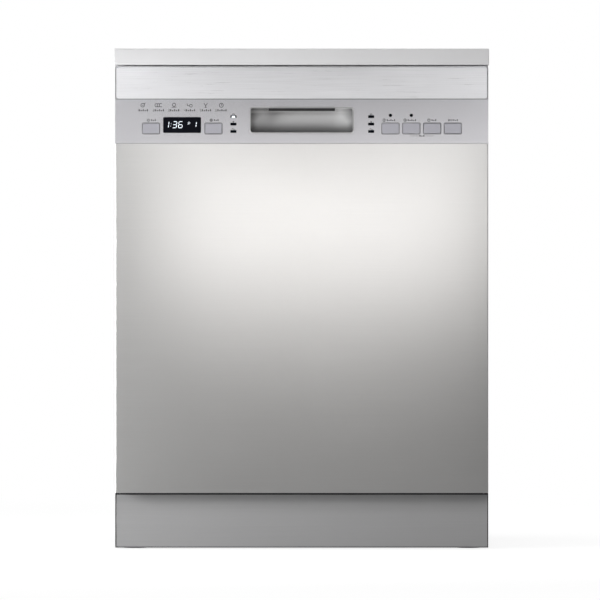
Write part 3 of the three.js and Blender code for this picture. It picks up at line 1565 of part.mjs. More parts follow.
function makeHingeArm(s) {
  const top = hingeZ + armTopHeight;
  const shape = new THREE.Shape();
  const [r, w] = [armEyeRadius, armHalfWidth];
  const shoulder = hingeZ + linerNotch + r;
  shape.moveTo(hingeY - r, hingeZ);
  shape.absarc(hingeY, hingeZ, r, Math.PI, 2 * Math.PI);
  shape.lineTo(hingeY + w + r / 2, shoulder);
  shape.lineTo(hingeY + w + r / 2, top);
  shape.lineTo(hingeY - r / 2, top);
  shape.lineTo(hingeY - r, shoulder);
  const plate = alongX(shape, Math.min(s * armInner, s * (armInner + armPlateThickness)),
    Math.max(s * armInner, s * (armInner + armPlateThickness)), 6);
  const eye = bar([s * (armInner - overrun), hingeY, hingeZ],
    [s * (armInner + armPlateThickness + overrun), hingeY, hingeZ], hingePinRadius + gap, 16);
  return plate.subtract(eye);
}

function makeHingeBracket(s) {
  const [r, t] = [bracketEyeRadius, bracketPlateThickness];
  const outer = armInner - bracketFromArm;
  const inner = outer - t;
  const rear = trayFront - gap;
  const shape = new THREE.Shape();
  shape.moveTo(rear, hingeZ - r);
  shape.lineTo(rear, hingeZ + r);
  shape.lineTo(hingeY, hingeZ + r);
  shape.absarc(hingeY, hingeZ, r, Math.PI / 2, Math.PI * 1.5);
  const plate = alongX(shape, Math.min(s * inner, s * outer), Math.max(s * inner, s * outer), 6);
  const flange = block(s * (outer - bracketFlangeWidth), s * outer, rear - t, rear,
    hingeZ - r, hingeZ + r);
  const pin = bar([s * inner, hingeY, hingeZ],
    [s * (armInner + armPlateThickness + gap), hingeY, hingeZ], hingePinRadius, 16);
  return join(plate, flange, pin);
}

// Dispenser: a moulded box in the liner with a cup, its lid and the rinse aid cap
const dispenserFace = linerPanelFace + gap + dispenserFlangeThickness;

function makeDispenserBody() {
  const f = dispenserFlange;
  const [z0, z1] = [dispenserBottom, dispenserBottom + dispenserHeight];
  const half = dispenserHalfWidth;
  const box = alongY(rounded(-half, half, z0, z1, dispenserRadius),
    dispenserFace - dispenserDepth, dispenserFace - gap, 4);
  const flange = alongY(rounded(-half - f, half + f, z0 - f, z1 + f, dispenserRadius + f),
    linerPanelFace + gap, dispenserFace, 4);
  const cup = alongY(rounded(cupX - cupHalfWidth, cupX + cupHalfWidth, z0 + cupBottom,
    z0 + cupBottom + cupHeight, cupRadius), dispenserFace - cupDepth, dispenserFace + overrun, 4);
  const seat = bar([rinseX, dispenserFace - rinseBodyDepth, z0 + rinseHeight],
    [rinseX, dispenserFace + overrun, z0 + rinseHeight], rinseRadius + gap, 24);
  return join(box, flange).subtract(cup).subtract(seat);
}

// Modelled about its hinge, closed; the lid lies on the dispenser's face
function makeDetergentLid() {
  const half = cupHalfWidth + lidMargin;
  const r = lidBarrelRadius;
  const plate = alongY(rounded(-half, half, 0, cupHeight + 2 * lidMargin, lidMargin),
    gap - r, gap + lidThickness - r, 3);
  const barrel = bar([-half, 0, 0], [half, 0, 0], r - gap, 10);
  return join(plate, barrel);
}

// Modelled about the middle of the dispenser's face
function makeRinseCap() {
  const [r, rise] = [rinseRadius, rinseCapRise];
  const outline = new THREE.LatheGeometry([
    [0, -rinseBodyDepth + gap],
    [r, -rinseBodyDepth + gap],
    [r, rise - overrun],
    [r - overrun, rise],
    [0, rise],
  ].map(([a, b]) => new THREE.Vector2(a, b)), 20);
  const grip = block(-rinseGripHalfLength, rinseGripHalfLength, rise - overrun, rise + rinseGripHeight,
    -rinseGripHalfWidth, rinseGripHalfWidth);
  return join(solid(outline), grip);
}

// Assembly
place(cabinet, 'worktop', makeWorktop(), 'worktop');
place(cabinet, 'rear_panel', makeRearPanel(), 'zinc');
place(cabinet, 'front_crossbar', makeCrossbar(), 'zinc');
place(cabinet, 'kickplate', makeKickplate(), 'kick');
place(cabinet, 'base_tray', makeBaseTray(), 'black');
place(cabinet, 'tub', makeTub(), 'tubSteel');
place(cabinet, 'tub_gasket', makeGasket(), 'rubber');
place(cabinet, 'sill_seal', makeSillSeal(), 'rubber');
for (const [name, s] of sides) {
  place(cabinet, `side_panel_${name}`, makeSidePanel(s), 'silver');
  place(cabinet, `hinge_bracket_${name}`, makeHingeBracket(s), 'zinc');
}
for (const [name, x, y] of footPlaces()) {
  place(cabinet, `foot_${name}`, makeFoot(), 'black', [x, y, 0]);
}

place(waterSide, 'sump', makeSump(), 'grey');
place(waterSide, 'filter_plate', makeFilterPlate(), 'tubSteel');
place(waterSide, 'filter_cylinder', makeFilterCylinder(), 'grey', [filterX, sumpY + filterY, 0]);
place(waterSide, 'water_softener', makeSoftener(), 'white');
place(waterSide, 'salt_cap', makeSaltCap(), 'grey', [softenerX, softenerY, 0]);
place(waterSide, 'circulation_pump', makeCirculationPump(), 'black');
place(waterSide, 'drain_pump', makeDrainPump(), 'black');
place(waterSide, 'inlet_valve', makeInletValve(), 'white');
place(waterSide, 'spray_feed_pipe', makeFeedPipe(), 'grey');
place(waterSide, 'lower_spray_arm', makeSprayArm(lowerArmReach, sumpPinRadius + gap), 'grey',
  [0, sumpY, lowerArmBottom]);

place(door, 'door_outer_panel', makeOuterPanel(), 'steel');
place(door, 'door_inner_liner', makeLiner(), 'tubSteel');
place(door, 'control_console', makeConsole(), 'silver');
place(door, 'trim_strip', makeTrimStrip(), 'inlay');
place(door, 'handle_recess', makeRecess(), 'silver');
place(door, 'latch_lever', makeLever(), 'black', [0, leverPivotY, leverPivotZ]);
place(door, 'door_latch', makeLatch(), 'black');
place(door, 'display_lens', makeDisplayLens(), 'dark');
place(door, 'indicator_lens', makeIndicatorLens(), 'dark');
place(door, 'control_board', makeControlBoard(), 'board');
for (const [name, s] of sides) place(door, `hinge_arm_${name}`, makeHingeArm(s), 'zinc');
buttonPlaces.forEach((x, i) => {
  place(door, `button_${i + 1}`, makeButton(), 'button', [x, front, onConsole(buttonHeight)]);
});
place(door, 'dispenser_body', makeDispenserBody(), 'grey');
const lidPivotZ = dispenserBottom + cupBottom - lidMargin;
place(door, 'detergent_lid', makeDetergentLid(), 'white',
  [cupX, dispenserFace + lidBarrelRadius, lidPivotZ]);
place(door, 'rinse_aid_cap', makeRinseCap(), 'white',
  [rinseX, dispenserFace, dispenserBottom + rinseHeight]);

place(racks, 'upper_rack', makeUpperRack(), 'rackWire');
place(racks, 'upper_arm_feed_tube', makeUpperFeedTube(), 'grey');
place(racks, 'upper_spray_arm', makeSprayArm(upperArmReach, feedPinRadius + gap), 'grey',
  [0, upperArmY, upperArmTop - armThickness - armHubRise]);
place(racks, 'lower_rack', makeLowerRack(), 'rackWire');
place(racks, 'cutlery_basket', makeBasket(), 'grey', [basketX, basketY, 0]);
for (const [name, s] of sides) {
  place(racks, `rack_rail_${name}`, makeRackRail(s), 'tubSteel');
  place(racks, `slide_rail_${name}`, makeSlideRail(s), 'tubSteel');
  for (const [end, y] of [['front', -wheelY], ['rear', wheelY]]) {
    place(racks, `rack_wheel_${end}_${name}`, makeWheel(), 'grey',
      [s * wheelX, y, tubLedge + gap + wheelRadius]);
  }
}

export default dishwasher;
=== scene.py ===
"""Looks of the dishwasher: finishes, fine wire racks, printed marks, light and camera."""

import json
import math

import bmesh
import bpy
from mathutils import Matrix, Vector

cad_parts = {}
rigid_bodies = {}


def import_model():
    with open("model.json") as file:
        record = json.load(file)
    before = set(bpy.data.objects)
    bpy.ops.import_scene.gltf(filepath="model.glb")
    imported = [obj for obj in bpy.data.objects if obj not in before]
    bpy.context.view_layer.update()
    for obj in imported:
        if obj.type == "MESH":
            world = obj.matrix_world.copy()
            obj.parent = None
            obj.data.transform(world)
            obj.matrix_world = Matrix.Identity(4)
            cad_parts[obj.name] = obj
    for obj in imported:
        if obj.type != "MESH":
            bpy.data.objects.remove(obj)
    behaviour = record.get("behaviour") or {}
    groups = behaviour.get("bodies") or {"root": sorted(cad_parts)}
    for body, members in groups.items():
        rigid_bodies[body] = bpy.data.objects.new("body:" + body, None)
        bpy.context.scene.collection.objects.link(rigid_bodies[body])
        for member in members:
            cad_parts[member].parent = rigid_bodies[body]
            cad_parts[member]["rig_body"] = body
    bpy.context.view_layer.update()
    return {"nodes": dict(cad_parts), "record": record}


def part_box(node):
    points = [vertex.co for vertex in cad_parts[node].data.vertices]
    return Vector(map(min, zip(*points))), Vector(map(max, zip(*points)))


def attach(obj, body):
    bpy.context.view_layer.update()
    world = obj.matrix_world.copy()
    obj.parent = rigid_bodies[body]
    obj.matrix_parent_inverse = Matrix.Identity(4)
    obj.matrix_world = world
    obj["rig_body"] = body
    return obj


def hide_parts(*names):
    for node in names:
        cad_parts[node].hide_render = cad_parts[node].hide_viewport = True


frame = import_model()
nodes = frame["nodes"]
slot_of = {entry["node"]: entry["material_slot"] for entry in frame["record"]["subparts"]}
scene = bpy.context.scene

# Lengths of the object are in mm and are brought to metres with MM
MM = 0.001
FRONT = -300.0


# Camera: far away and level, as in the photograph
CAMERA_X = -0.0028
CAMERA_HEIGHT = 0.3984
CAMERA_DISTANCE = 10.0
FRAME_WIDTH = 0.9581
SENSOR = 36.0


def make_camera():
    data = bpy.data.cameras.new("camera")
    data.type = "PERSP"
    data.sensor_width = SENSOR
    data.lens = SENSOR * CAMERA_DISTANCE / FRAME_WIDTH
    data.clip_start = 0.1
    data.clip_end = 60.0
    camera = bpy.data.objects.new("camera", data)
    camera.location = (CAMERA_X, FRONT * MM - CAMERA_DISTANCE, CAMERA_HEIGHT)
    camera.rotation_euler = (math.radians(90.0), 0.0, 0.0)
    scene.collection.objects.link(camera)
    scene.camera = camera


make_camera()


# Materials
def map_range(tree, value, start, end, low, high, smooth=False):
    """Turns the range from start to end into the one from low to high."""
    node = tree.nodes.new("ShaderNodeMapRange")
    if smooth:
        node.interpolation_type = "SMOOTHSTEP"
    limits = {"From Min": start, "From Max": end, "To Min": low, "To Max": high}
    for socket, limit in limits.items():
        node.inputs[socket].default_value = limit
    tree.links.new(value, node.inputs["Value"])
    return node.outputs["Result"]


def blend(tree, factor, first, second):
    """A shader that goes from the first to the second with the factor."""
    node = tree.nodes.new("ShaderNodeMixShader")
    for socket, out in zip(node.inputs, (factor, first, second)):
        tree.links.new(out, socket)
    return node.outputs[0]


class Nodes:
    """A short way to add and link shader nodes."""

    def __init__(self, name, colour, metallic, roughness):
        self.material = bpy.data.materials.new(name)
        self.material.use_nodes = True
        self.tree = self.material.node_tree
        self.shader = self.tree.nodes["Principled BSDF"]
        self.colour = (*colour, 1.0)
        self.set("Base Color", self.colour)
        self.set("Metallic", metallic)
        self.set("Roughness", roughness)
        self.roughness = roughness
        self.where = self.add("ShaderNodeTexCoord").outputs["Object"]

    def add(self, kind, **values):
        node = self.tree.nodes.new(kind)
        for key, value in values.items():
            setattr(node, key, value)
        return node

    def set(self, socket, value):
        self.shader.inputs[socket].default_value = value

    def link(self, out, into):
        self.tree.links.new(out, into)

    def stretched(self, scale):
        mapping = self.add("ShaderNodeMapping")
        mapping.inputs["Scale"].default_value = scale
        self.link(self.where, mapping.inputs["Vector"])
        return mapping.outputs["Vector"]

    def noise(self, scale, detail=2.0, stretch=(1.0, 1.0, 1.0), roughness=0.5):
        noise = self.add("ShaderNodeTexNoise")
        noise.inputs["Scale"].default_value = scale
        noise.inputs["Detail"].default_value = detail
        noise.inputs["Roughness"].default_value = roughness
        self.link(self.stretched(stretch), noise.inputs["Vector"])
        return noise.outputs["Fac"]

    def ranged(self, value, low, high, start, end):
        return map_range(self.tree, value, start, end, low, high)

    def shade(self, value, amount, start=0.3, end=0.7):
        """Colour that runs a little darker and lighter with a texture."""
        ramp = self.add("ShaderNodeValToRGB")
        ramp.color_ramp.elements[0].position = start
        ramp.color_ramp.elements[1].position = end
        for element, factor in zip(ramp.color_ramp.elements, (1.0 - amount, 1.0 + amount)):
            element.color = (*[min(1.0, c * factor) for c in self.colour[:3]], 1.0)
        self.link(value, ramp.inputs["Fac"])
        self.link(ramp.outputs["Color"], self.shader.inputs["Base Color"])

    def rough(self, value, spread, start=0.3, end=0.7):
        low, high = max(0.02, self.roughness - spread), self.roughness + spread
        self.link(self.ranged(value, low, high, start, end), self.shader.inputs["Roughness"])

    def bump(self, value, strength, distance):
        bump = self.add("ShaderNodeBump")
        bump.inputs["Strength"].default_value = strength
        bump.inputs["Distance"].default_value = distance
        self.link(value, bump.inputs["Height"])
        self.link(bump.outputs["Normal"], self.shader.inputs["Normal"])


def brushed(name, colour, roughness, stretch, amount, strength, uneven=0.05, metallic=1.0):
    """Metal with grain drawn out along one axis, and broad soft unevenness."""
    n = Nodes(name, colour, metallic, roughness)
    grain = n.noise(1.0, 3.0, stretch, 0.6)
    cloud = n.noise(5.0, 3.0)
    mixed = n.add("ShaderNodeMath", operation="MULTIPLY_ADD")
    mixed.inputs[1].default_value = 0.25
    n.link(cloud, mixed.inputs[0])
    n.link(n.ranged(grain, 0.0, 0.75, 0.2, 0.8), mixed.inputs[2])
    n.shade(mixed.outputs[0], amount, 0.25, 0.75)
    n.rough(mixed.outputs[0], uneven, 0.25, 0.75)
    n.bump(grain, strength, 0.0002)
    return n.material


def moulded(name, colour, roughness, amount, grain, strength, metallic=0.0):
    """Plastic or lacquer with a fine skin texture and slight blotches."""
    n = Nodes(name, colour, metallic, roughness)
    fine = n.noise(grain, 2.0)
    n.shade(n.noise(14.0, 4.0), amount)
    n.rough(fine, 0.05)
    n.bump(fine, strength, 0.0001)
    return n.material


def coated_sheet(name, colour, roughness, metallic, spangle, amount):
    """Zinc coated sheet: broad crystals in a dull metal."""
    n = Nodes(name, colour, metallic, roughness)
    cells = n.add("ShaderNodeTexVoronoi")
    cells.inputs["Scale"].default_value = spangle
    n.link(n.where, cells.inputs["Vector"])
    split = n.add("ShaderNodeSeparateColor")
    n.link(cells.outputs["Color"], split.inputs["Color"])
    n.shade(split.outputs[0], amount, 0.0, 1.0)
    n.rough(split.outputs[1], 0.06, 0.0, 1.0)
    n.bump(n.noise(500.0), 0.05, 0.0001)
    return n.material


def glowing(name, colour, strength):
    """A lit digit or window."""
    n = Nodes(name, colour, 0.0, 0.5)
    n.set("Emission Color", (*colour, 1.0))
    n.set("Emission Strength", strength)
    n.shade(n.noise(700.0), 0.03)
    return n.material


def painted_shelter_shade(material, reach, darkest, floor_up_shade):
    """Paints shade into a moulding's colour: darker in its corners by ambient occlusion, and
    darker on the faces that look up.
    """
    tree = material.node_tree
    shader = tree.nodes["Principled BSDF"]
    colour = shader.inputs["Base Color"].links[0].from_socket
    shelter = tree.nodes.new("ShaderNodeAmbientOcclusion")
    shelter.samples = 16
    shelter.inputs["Distance"].default_value = reach
    corners = map_range(tree, shelter.outputs["AO"], 0.3, 0.75, darkest, 1.0)
    split = tree.nodes.new("ShaderNodeSeparateXYZ")
    tree.links.new(tree.nodes.new("ShaderNodeNewGeometry").outputs["Normal"], split.inputs[0])
    up_shade = map_range(tree, split.outputs["Z"], 0.40, 0.95, 1.0, floor_up_shade, True)
    painted_shade = tree.nodes.new("ShaderNodeMath")
    painted_shade.operation = "MULTIPLY"
    tree.links.new(corners, painted_shade.inputs[0])
    tree.links.new(up_shade, painted_shade.inputs[1])
    mix = tree.nodes.new("ShaderNodeVectorMath")
    mix.operation = "SCALE"
    tree.links.new(colour, mix.inputs[0])
    tree.links.new(painted_shade.outputs[0], mix.inputs["Scale"])
    tree.links.new(mix.outputs["Vector"], shader.inputs["Base Color"])


# Texture scales that draw the grain out sideways, and front to back
ALONG_X = (5.0, 60.0, 2400.0)
ALONG_X_COARSE = (9.0, 60.0, 1300.0)
ALONG_Y = (40.0, 5.0, 600.0)
FINISHES = {
    "worktop": (moulded, (0.84, 0.84, 0.85), 0.5, 0.02, 1400.0, 0.05),
    "zinc": (coated_sheet, (0.56, 0.57, 0.58), 0.5, 0.4, 95.0, 0.06),
    "kick": (brushed, (0.42, 0.42, 0.425), 0.55, ALONG_X, 0.04, 0.08, 0.05, 0.0),
    "black_plastic": (moulded, (0.022, 0.022, 0.024), 0.5, 0.10, 700.0, 0.12),
    "tub_steel": (brushed, (0.74, 0.745, 0.75), 0.33, ALONG_Y, 0.02, 0.02),
    "rubber": (moulded, (0.035, 0.035, 0.037), 0.75, 0.10, 500.0, 0.15),
    "silver_paint": (moulded, (0.43, 0.43, 0.44), 0.55, 0.03, 1800.0, 0.05, 0.1),
    "grey_plastic": (moulded, (0.17, 0.175, 0.185), 0.48, 0.06, 800.0, 0.10),
    "white_plastic": (moulded, (0.70, 0.71, 0.71), 0.42, 0.03, 900.0, 0.06),
    "door_steel": (brushed, (0.80, 0.797, 0.79), 0.345, ALONG_X, 0.018, 0.10, 0.03),
    "console_silver": (moulded, (0.61, 0.61, 0.64), 0.31, 0.015, 2200.0, 0.02, 1.0),
    "inlay": (brushed, (0.90, 0.905, 0.93), 0.34, ALONG_X_COARSE, 0.06, 0.16, 0.07, 0.65),
    "recess_silver": (moulded, (0.78, 0.78, 0.785), 0.36, 0.02, 1800.0, 0.04, 0.25),
    "dark_lens": (moulded, (0.0055, 0.006, 0.0095), 0.12, 0.05, 300.0, 0.01),
    "circuit_board": (moulded, (0.03, 0.14, 0.07), 0.45, 0.12, 300.0, 0.10),
    "button_grey": (moulded, (0.49, 0.49, 0.54), 0.40, 0.02, 1600.0, 0.05, 0.7),
    "rack_wire": (moulded, (0.50, 0.51, 0.525), 0.36, 0.04, 900.0, 0.05, 0.25),
}
finish = {slot: make(slot, *values) for slot, (make, *values) in FINISHES.items()}
# Painted shade in the handle recess: its corners and its upward faces are darkened in the colour.
painted_shelter_shade(finish["recess_silver"], 0.02, 0.3, 0.22)
lens_shader = finish["dark_lens"].node_tree.nodes["Principled BSDF"]
lens_shader.inputs["Specular IOR Level"].default_value = 0.12
print_ink = moulded("print_ink", (0.03, 0.03, 0.035), 0.6, 0.08, 1200.0, 0.03)
# Dark lines of painted shade in the gaps round the buttons, and along the trim strip and the
# recess mouth.
painted_gap_shade = moulded("painted_gap_shade", (0.15, 0.15, 0.16), 0.6, 0.05, 1200.0, 0.03)
digit_light = glowing("digit_light", (0.86, 0.92, 1.0), 0.95)


# Making pieces
EDGE_ANGLE = 35.0


def new_object(name, mesh, body, slot, material=None, replaced=()):
    piece = bpy.data.objects.new(name, mesh)
    scene.collection.objects.link(piece)
    mesh.materials.clear()
    mesh.materials.append(material or finish[slot])
    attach(piece, body)
    if replaced:
        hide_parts(*replaced)
    return piece


def mesh_from(name, bm, degrees=EDGE_ANGLE):
    """A smooth-shaded mesh whose edges stay sharp above the given angle."""
    bmesh.ops.recalc_face_normals(bm, faces=bm.faces)
    mesh = bpy.data.meshes.new(name)
    bm.to_mesh(mesh)
    bm.free()
    mesh.polygons.foreach_set("use_smooth", [True] * len(mesh.polygons))
    mesh.set_sharp_from_angle(angle=math.radians(degrees))
    return mesh


def softened(piece, width, segments=2):
    """Rounds the sharp edges of a piece."""
    bevel = piece.modifiers.new("edges", "BEVEL")
    bevel.width = width * MM
    bevel.segments = segments
    bevel.limit_method = "ANGLE"
    bevel.angle_limit = math.radians(EDGE_ANGLE)
    bevel.use_clamp_overlap = True
    bevel.harden_normals = True


def standing_for(node, bm, degrees=EDGE_ANGLE):
    """A piece that stands for a CAD node, in its body and its finish."""
    name = f"{node}_look"
    mesh = mesh_from(name, bm, degrees)
    return new_object(name, mesh, nodes[node]["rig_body"], slot_of[node], replaced=(node,))


def dressed(node, width):
    """A CAD node's own shape with rounded edges and smooth curves."""
    bm = bmesh.new()
    bm.from_mesh(nodes[node].data)
    bmesh.ops.remove_doubles(bm, verts=bm.verts, dist=1e-6)
    bmesh.ops.dissolve_limit(bm, angle_limit=math.radians(0.5), verts=bm.verts, edges=bm.edges)
    piece = standing_for(node, bm)
    if width:
        softened(piece, width)


def add_box(bm, low, high):
    made = bmesh.ops.create_cube(bm, size=1.0)
    size = [h - l for l, h in zip(low, high)]
    middle = [(h + l) / 2 for l, h in zip(low, high)]
    bmesh.ops.scale(bm, vec=[s * MM for s in size], verts=made["verts"])
    bmesh.ops.translate(bm, vec=[m * MM for m in middle], verts=made["verts"])


def add_turned(bm, profile, origin, axis, sides=40):
    """A closed turned form; the profile's points are radius and height along the axis."""
    turn = Vector((0.0, 0.0, 1.0)).rotation_difference(Vector(axis)).to_matrix()
    rings = []
    for radius, height in profile:
        ring = []
        count = 1 if radius == 0 else sides
        for k in range(count):
            angle = 2 * math.pi * k / sides
            point = Vector((radius * math.cos(angle), radius * math.sin(angle), height))
            ring.append(bm.verts.new((turn @ point + Vector(origin)) * MM))
        rings.append(ring)
    for a, b in zip(rings, rings[1:] + rings[:1]):
        if len(a) == 1 and len(b) == 1:
            continue
        for k in range(sides):
            m = (k + 1) % sides
            corners = [a[k % len(a)], a[m % len(a)], b[m % len(b)], b[k % len(b)]]
            unique = list(dict.fromkeys(corners))
            if len(unique) > 2:
                bm.faces.new(unique)


BEND_STEPS = 5


def rounded_path(points, bend, closed):
    """The points of a path whose corners are rounded off."""
    corners = [Vector(p) for p in points]
    count = len(corners)
    path = []
    for i, here in enumerate(corners):
        if not closed and i in (0, count - 1):
            path.append(here)
            continue
        before = corners[i - 1] - here
        after = corners[(i + 1) % count] - here
        reach = min(bend, before.length * 0.48, after.length * 0.48)
        start = here + before.normalized() * reach
        end = here + after.normalized() * reach
        for k in range(BEND_STEPS + 1):
            t = k / BEND_STEPS
            path.append(start * (1 - t) ** 2 + here * 2 * t * (1 - t) + end * t * t)
    return path


def add_tube(bm, points, radius, bend=14.0, sides=10, closed=False):
    """A round wire along a path with rounded bends."""
    path = rounded_path(points, bend, closed)
    count = len(path)
    ways = []
    for i in range(count):
        after = path[(i + 1) % count] - path[i] if closed or i < count - 1 else Vector()
        before = path[i] - path[i - 1] if closed or i > 0 else Vector()
        ways.append((before.normalized() + after.normalized()).normalized())
    side = ways[0].orthogonal().normalized()
    rings = []
    for i in range(count):
        if i:
            side = ways[i - 1].rotation_difference(ways[i]) @ side
        up = ways[i].cross(side).normalized()
        ring = []
        for k in range(sides):
            angle = 2 * math.pi * k / sides
            offset = side * (radius * math.cos(angle)) + up * (radius * math.sin(angle))
            ring.append(bm.verts.new((path[i] + offset) * MM))
        rings.append(ring)
    for a, b in zip(rings, rings[1:]):
        for k in range(sides):
            m = (k + 1) % sides
            bm.faces.new((a[k], a[m], b[m], b[k]))
    if closed:
        gaps = [(rings[0][k].co - rings[-1][0].co).length for k in range(sides)]
        first = gaps.index(min(gaps))
        for k in range(sides):
            m = (k + 1) % sides
            a, b = rings[-1], rings[0]
            bm.faces.new((a[k], a[m], b[(m + first) % sides], b[(k + first) % sides]))
    else:
        bm.faces.new(rings[0])
        bm.faces.new(rings[-1])


def evenly(start, end, count):
    """Places at equal distances from start to end."""
    return [start + (end - start) * i / (count - 1) for i in range(count)]


# CAD nodes that keep their shape, with the width of their rounded edges
edge_widths = {
    "worktop": 1.2,
    "door_outer_panel": 0.35,
    "control_console": 0.5,
    "trim_strip": 0.35,
    "handle_recess": 0.0,
    "kickplate": 0.5,
    "tub": 0.3,
    "door_inner_liner": 0.25,
    "dispenser_body": 0.6,
    "detergent_lid": 0.6,
    "rinse_aid_cap": 0.5,
    "latch_lever": 0.5,
    "door_latch": 0.6,
    "display_lens": 0.25,
    "indicator_lens": 0.25,
    "cutlery_basket": 0.3,
    "lower_spray_arm": 0.8,
    "upper_spray_arm": 0.8,
    "spray_feed_pipe": 0.0,
    "upper_arm_feed_tube": 0.5,
    "side_panel_left": 0.25,
    "side_panel_right": 0.25,
    "rear_panel": 0.25,
    "front_crossbar": 0.3,
    "base_tray": 0.6,
    "sump": 0.6,
    "filter_plate": 0.3,
    "filter_cylinder": 0.6,
    "salt_cap": 0.6,
    "water_softener": 0.8,
    "circulation_pump": 0.8,
    "drain_pump": 0.8,
    "inlet_valve": 0.5,
    "control_board": 0.2,
    "hinge_arm_left": 0.3,
    "hinge_arm_right": 0.3,
    "hinge_bracket_left": 0.3,
    "hinge_bracket_right": 0.3,
    "rack_rail_left": 0.3,
    "rack_rail_right": 0.3,
    "slide_rail_left": 0.3,
    "slide_rail_right": 0.3,
    "tub_gasket": 0.3,
    "sill_seal": 0.3,
}
for index in range(1, 7):
    edge_widths[f"button_{index}"] = 0.45
for node_name, edge_width in edge_widths.items():
    dressed(node_name, edge_width)


# Turned pieces at full roundness
FOOT_PROFILE = [(0, 0), (20, 0), (20, 5), (13, 9), (5, 9), (5, 60), (0, 60)]
WHEEL_PROFILE = [
    (3.8, -4), (7, -4), (8.5, -2.5), (15, -2.5), (16.5, -4), (18, -2.5),
    (18, 2.5), (16.5, 4), (15, 2.5), (8.5, 2.5), (7, 4), (3.8, 4)]


def make_turned(node, profile, origin, axis):
    bm = bmesh.new()
    add_turned(bm, profile, origin, axis)
    softened(standing_for(node, bm, 30.0), 0.4)


for node_name in sorted(nodes):
    low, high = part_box(node_name)
    middle = (low + high) / 2 / MM
    if node_name.startswith("foot_"):
        make_turned(node_name, FOOT_PROFILE, (middle.x, middle.y, 0), (0, 0, 1))
    elif node_name.startswith("rack_wheel_"):
        make_turned(node_name, WHEEL_PROFILE, middle, (1, 0, 0))


# Wire racks
WIRE = 1.8
RIM_WIRE = 2.6
# How far the long wires run below the cross wires, and how far all bend out past the floor
LAYER = 3.36
CORNER = 2.1


def rack_loop(bm, rack, share, radius, bend, sides):
    """A closed wire round the rack, at a share of the way from its floor to its rim."""
    half, front, back, height = [
        rack[low] + (rack[high] - rack[low]) * share for low, high in (
            ("half_bottom", "half_top"), ("front_bottom", "front_top"),
            ("back_bottom", "back_top"), ("bottom", "top"))]
    add_tube(bm, [
        (-half, front, height), (half, front, height),
        (half, back, height), (-half, back, height)], radius, bend, sides, True)


def rack_wires(bm, rack):
    lower = rack["bottom"] - LAYER
    rows = evenly(rack["front_bottom"], rack["back_bottom"], rack["cross"])
    for y in rows:
        add_tube(bm, [
            (-rack["half_top"], y, rack["top"]),
            (-rack["half_bottom"] - CORNER, y, rack["bottom"]),
            (rack["half_bottom"] + CORNER, y, rack["bottom"]),
            (rack["half_top"], y, rack["top"])], WIRE)
    for x in evenly(-rack["half_bottom"], rack["half_bottom"], rack["long"]):
        add_tube(bm, [
            (x, rack["front_top"], rack["top"]),
            (x, rack["front_bottom"] - CORNER, lower),
            (x, rack["back_bottom"] + CORNER, lower),
            (x, rack["back_top"], rack["top"])], WIRE)
    for x in rack["tines"]:
        for y in rows[1:-1]:
            add_tube(bm, [
                (x, y, rack["bottom"]),
                (x + rack["lean"], y, rack["bottom"] + rack["tall"])], WIRE)
    rack_loop(bm, rack, 1.0, RIM_WIRE, 26.0, 12)
    rack_loop(bm, rack, 0.5, WIRE, 24.0, 10)


UPPER = dict(
    bottom=437, top=548, half_bottom=214, half_top=231, front_bottom=-220, front_top=-232,
    back_bottom=214.9, back_top=226.9, cross=19, long=7, tines=(-107, 107), lean=10, tall=58)
LOWER = dict(
    bottom=152, top=258, half_bottom=226, half_top=243, front_bottom=-182, front_top=-231,
    back_bottom=220.9, back_top=232.9, cross=21, long=7, tines=(-162.7, -45.2), lean=12, tall=78)


def stud(foot, head, length):
    """The profile of a short stud, with the radii of its two ends."""
    return [(0, 0), (foot, 0), (head, length), (0, length)]


ROLLER_PROFILE = [(0, 0), (9.4, 0), (9.9, 0.7), (9.9, 9.3), (9.4, 10), (0, 10)]


def rack_fitting(rack, kind, bm, width, segments=2):
    """A moulded piece that travels with a rack."""
    name = f"{rack}_{kind}"
    piece = new_object(name, mesh_from(name, bm), rack, "rack_wire", finish["grey_plastic"])
    softened(piece, width, segments)


def make_rack(rack, bm):
    name = f"{rack}_wires"
    new_object(name, mesh_from(name, bm, 40.0), rack, "rack_wire", replaced=(rack,))


def make_upper_rack():
    bm = bmesh.new()
    rack_wires(bm, UPPER)
    make_rack("upper_rack", bm)
    rollers = bmesh.new()
    plates = bmesh.new()
    inner, outer, axle_height = 228, 231, 492
    for s in (-1, 1):
        near, far = sorted((s * inner, s * outer))
        add_box(plates, (near, -4, 480), (far, 212, UPPER["top"]))
        for y in (8, 200):
            add_turned(rollers, ROLLER_PROFILE, (s * 248.9, y, axle_height), (s, 0, 0))
            add_turned(rollers, stud(3.5, 3.5, 22), (s * inner, y, axle_height), (s, 0, 0))
            add_turned(rollers, stud(6, 5, 2.5), (s * inner, y, axle_height), (-s, 0, 0))
    rack_fitting("upper_rack", "rollers", rollers, 0.3)
    rack_fitting("upper_rack", "plates", plates, 1.2, 3)


def make_lower_rack():
    bm = bmesh.new()
    rack_wires(bm, LOWER)
    runner, inner, outer, axle_height = 220, 223.7, 229.7, 142.3
    for s in (-1, 1):
        add_tube(bm, [
            (s * runner, LOWER["front_bottom"], LOWER["bottom"]),
            (s * runner, LOWER["back_bottom"], LOWER["bottom"])], WIRE)
    make_rack("lower_rack", bm)
    forks = bmesh.new()
    for s in (-1, 1):
        for y in (-121, 121):
            near, far = sorted((s * inner, s * outer))
            add_box(forks, (near, y - 11, 136.8), (far, y + 11, 154.1))
            add_turned(forks, stud(3.5, 3.5, 15.6), (s * inner, y, axle_height), (s, 0, 0))
            add_turned(forks, stud(5.5, 4.6, 1.6), (s * 238.3, y, axle_height), (s, 0, 0))
    rack_fitting("lower_rack", "forks", forks, 0.8, 3)


make_upper_rack()
make_lower_rack()
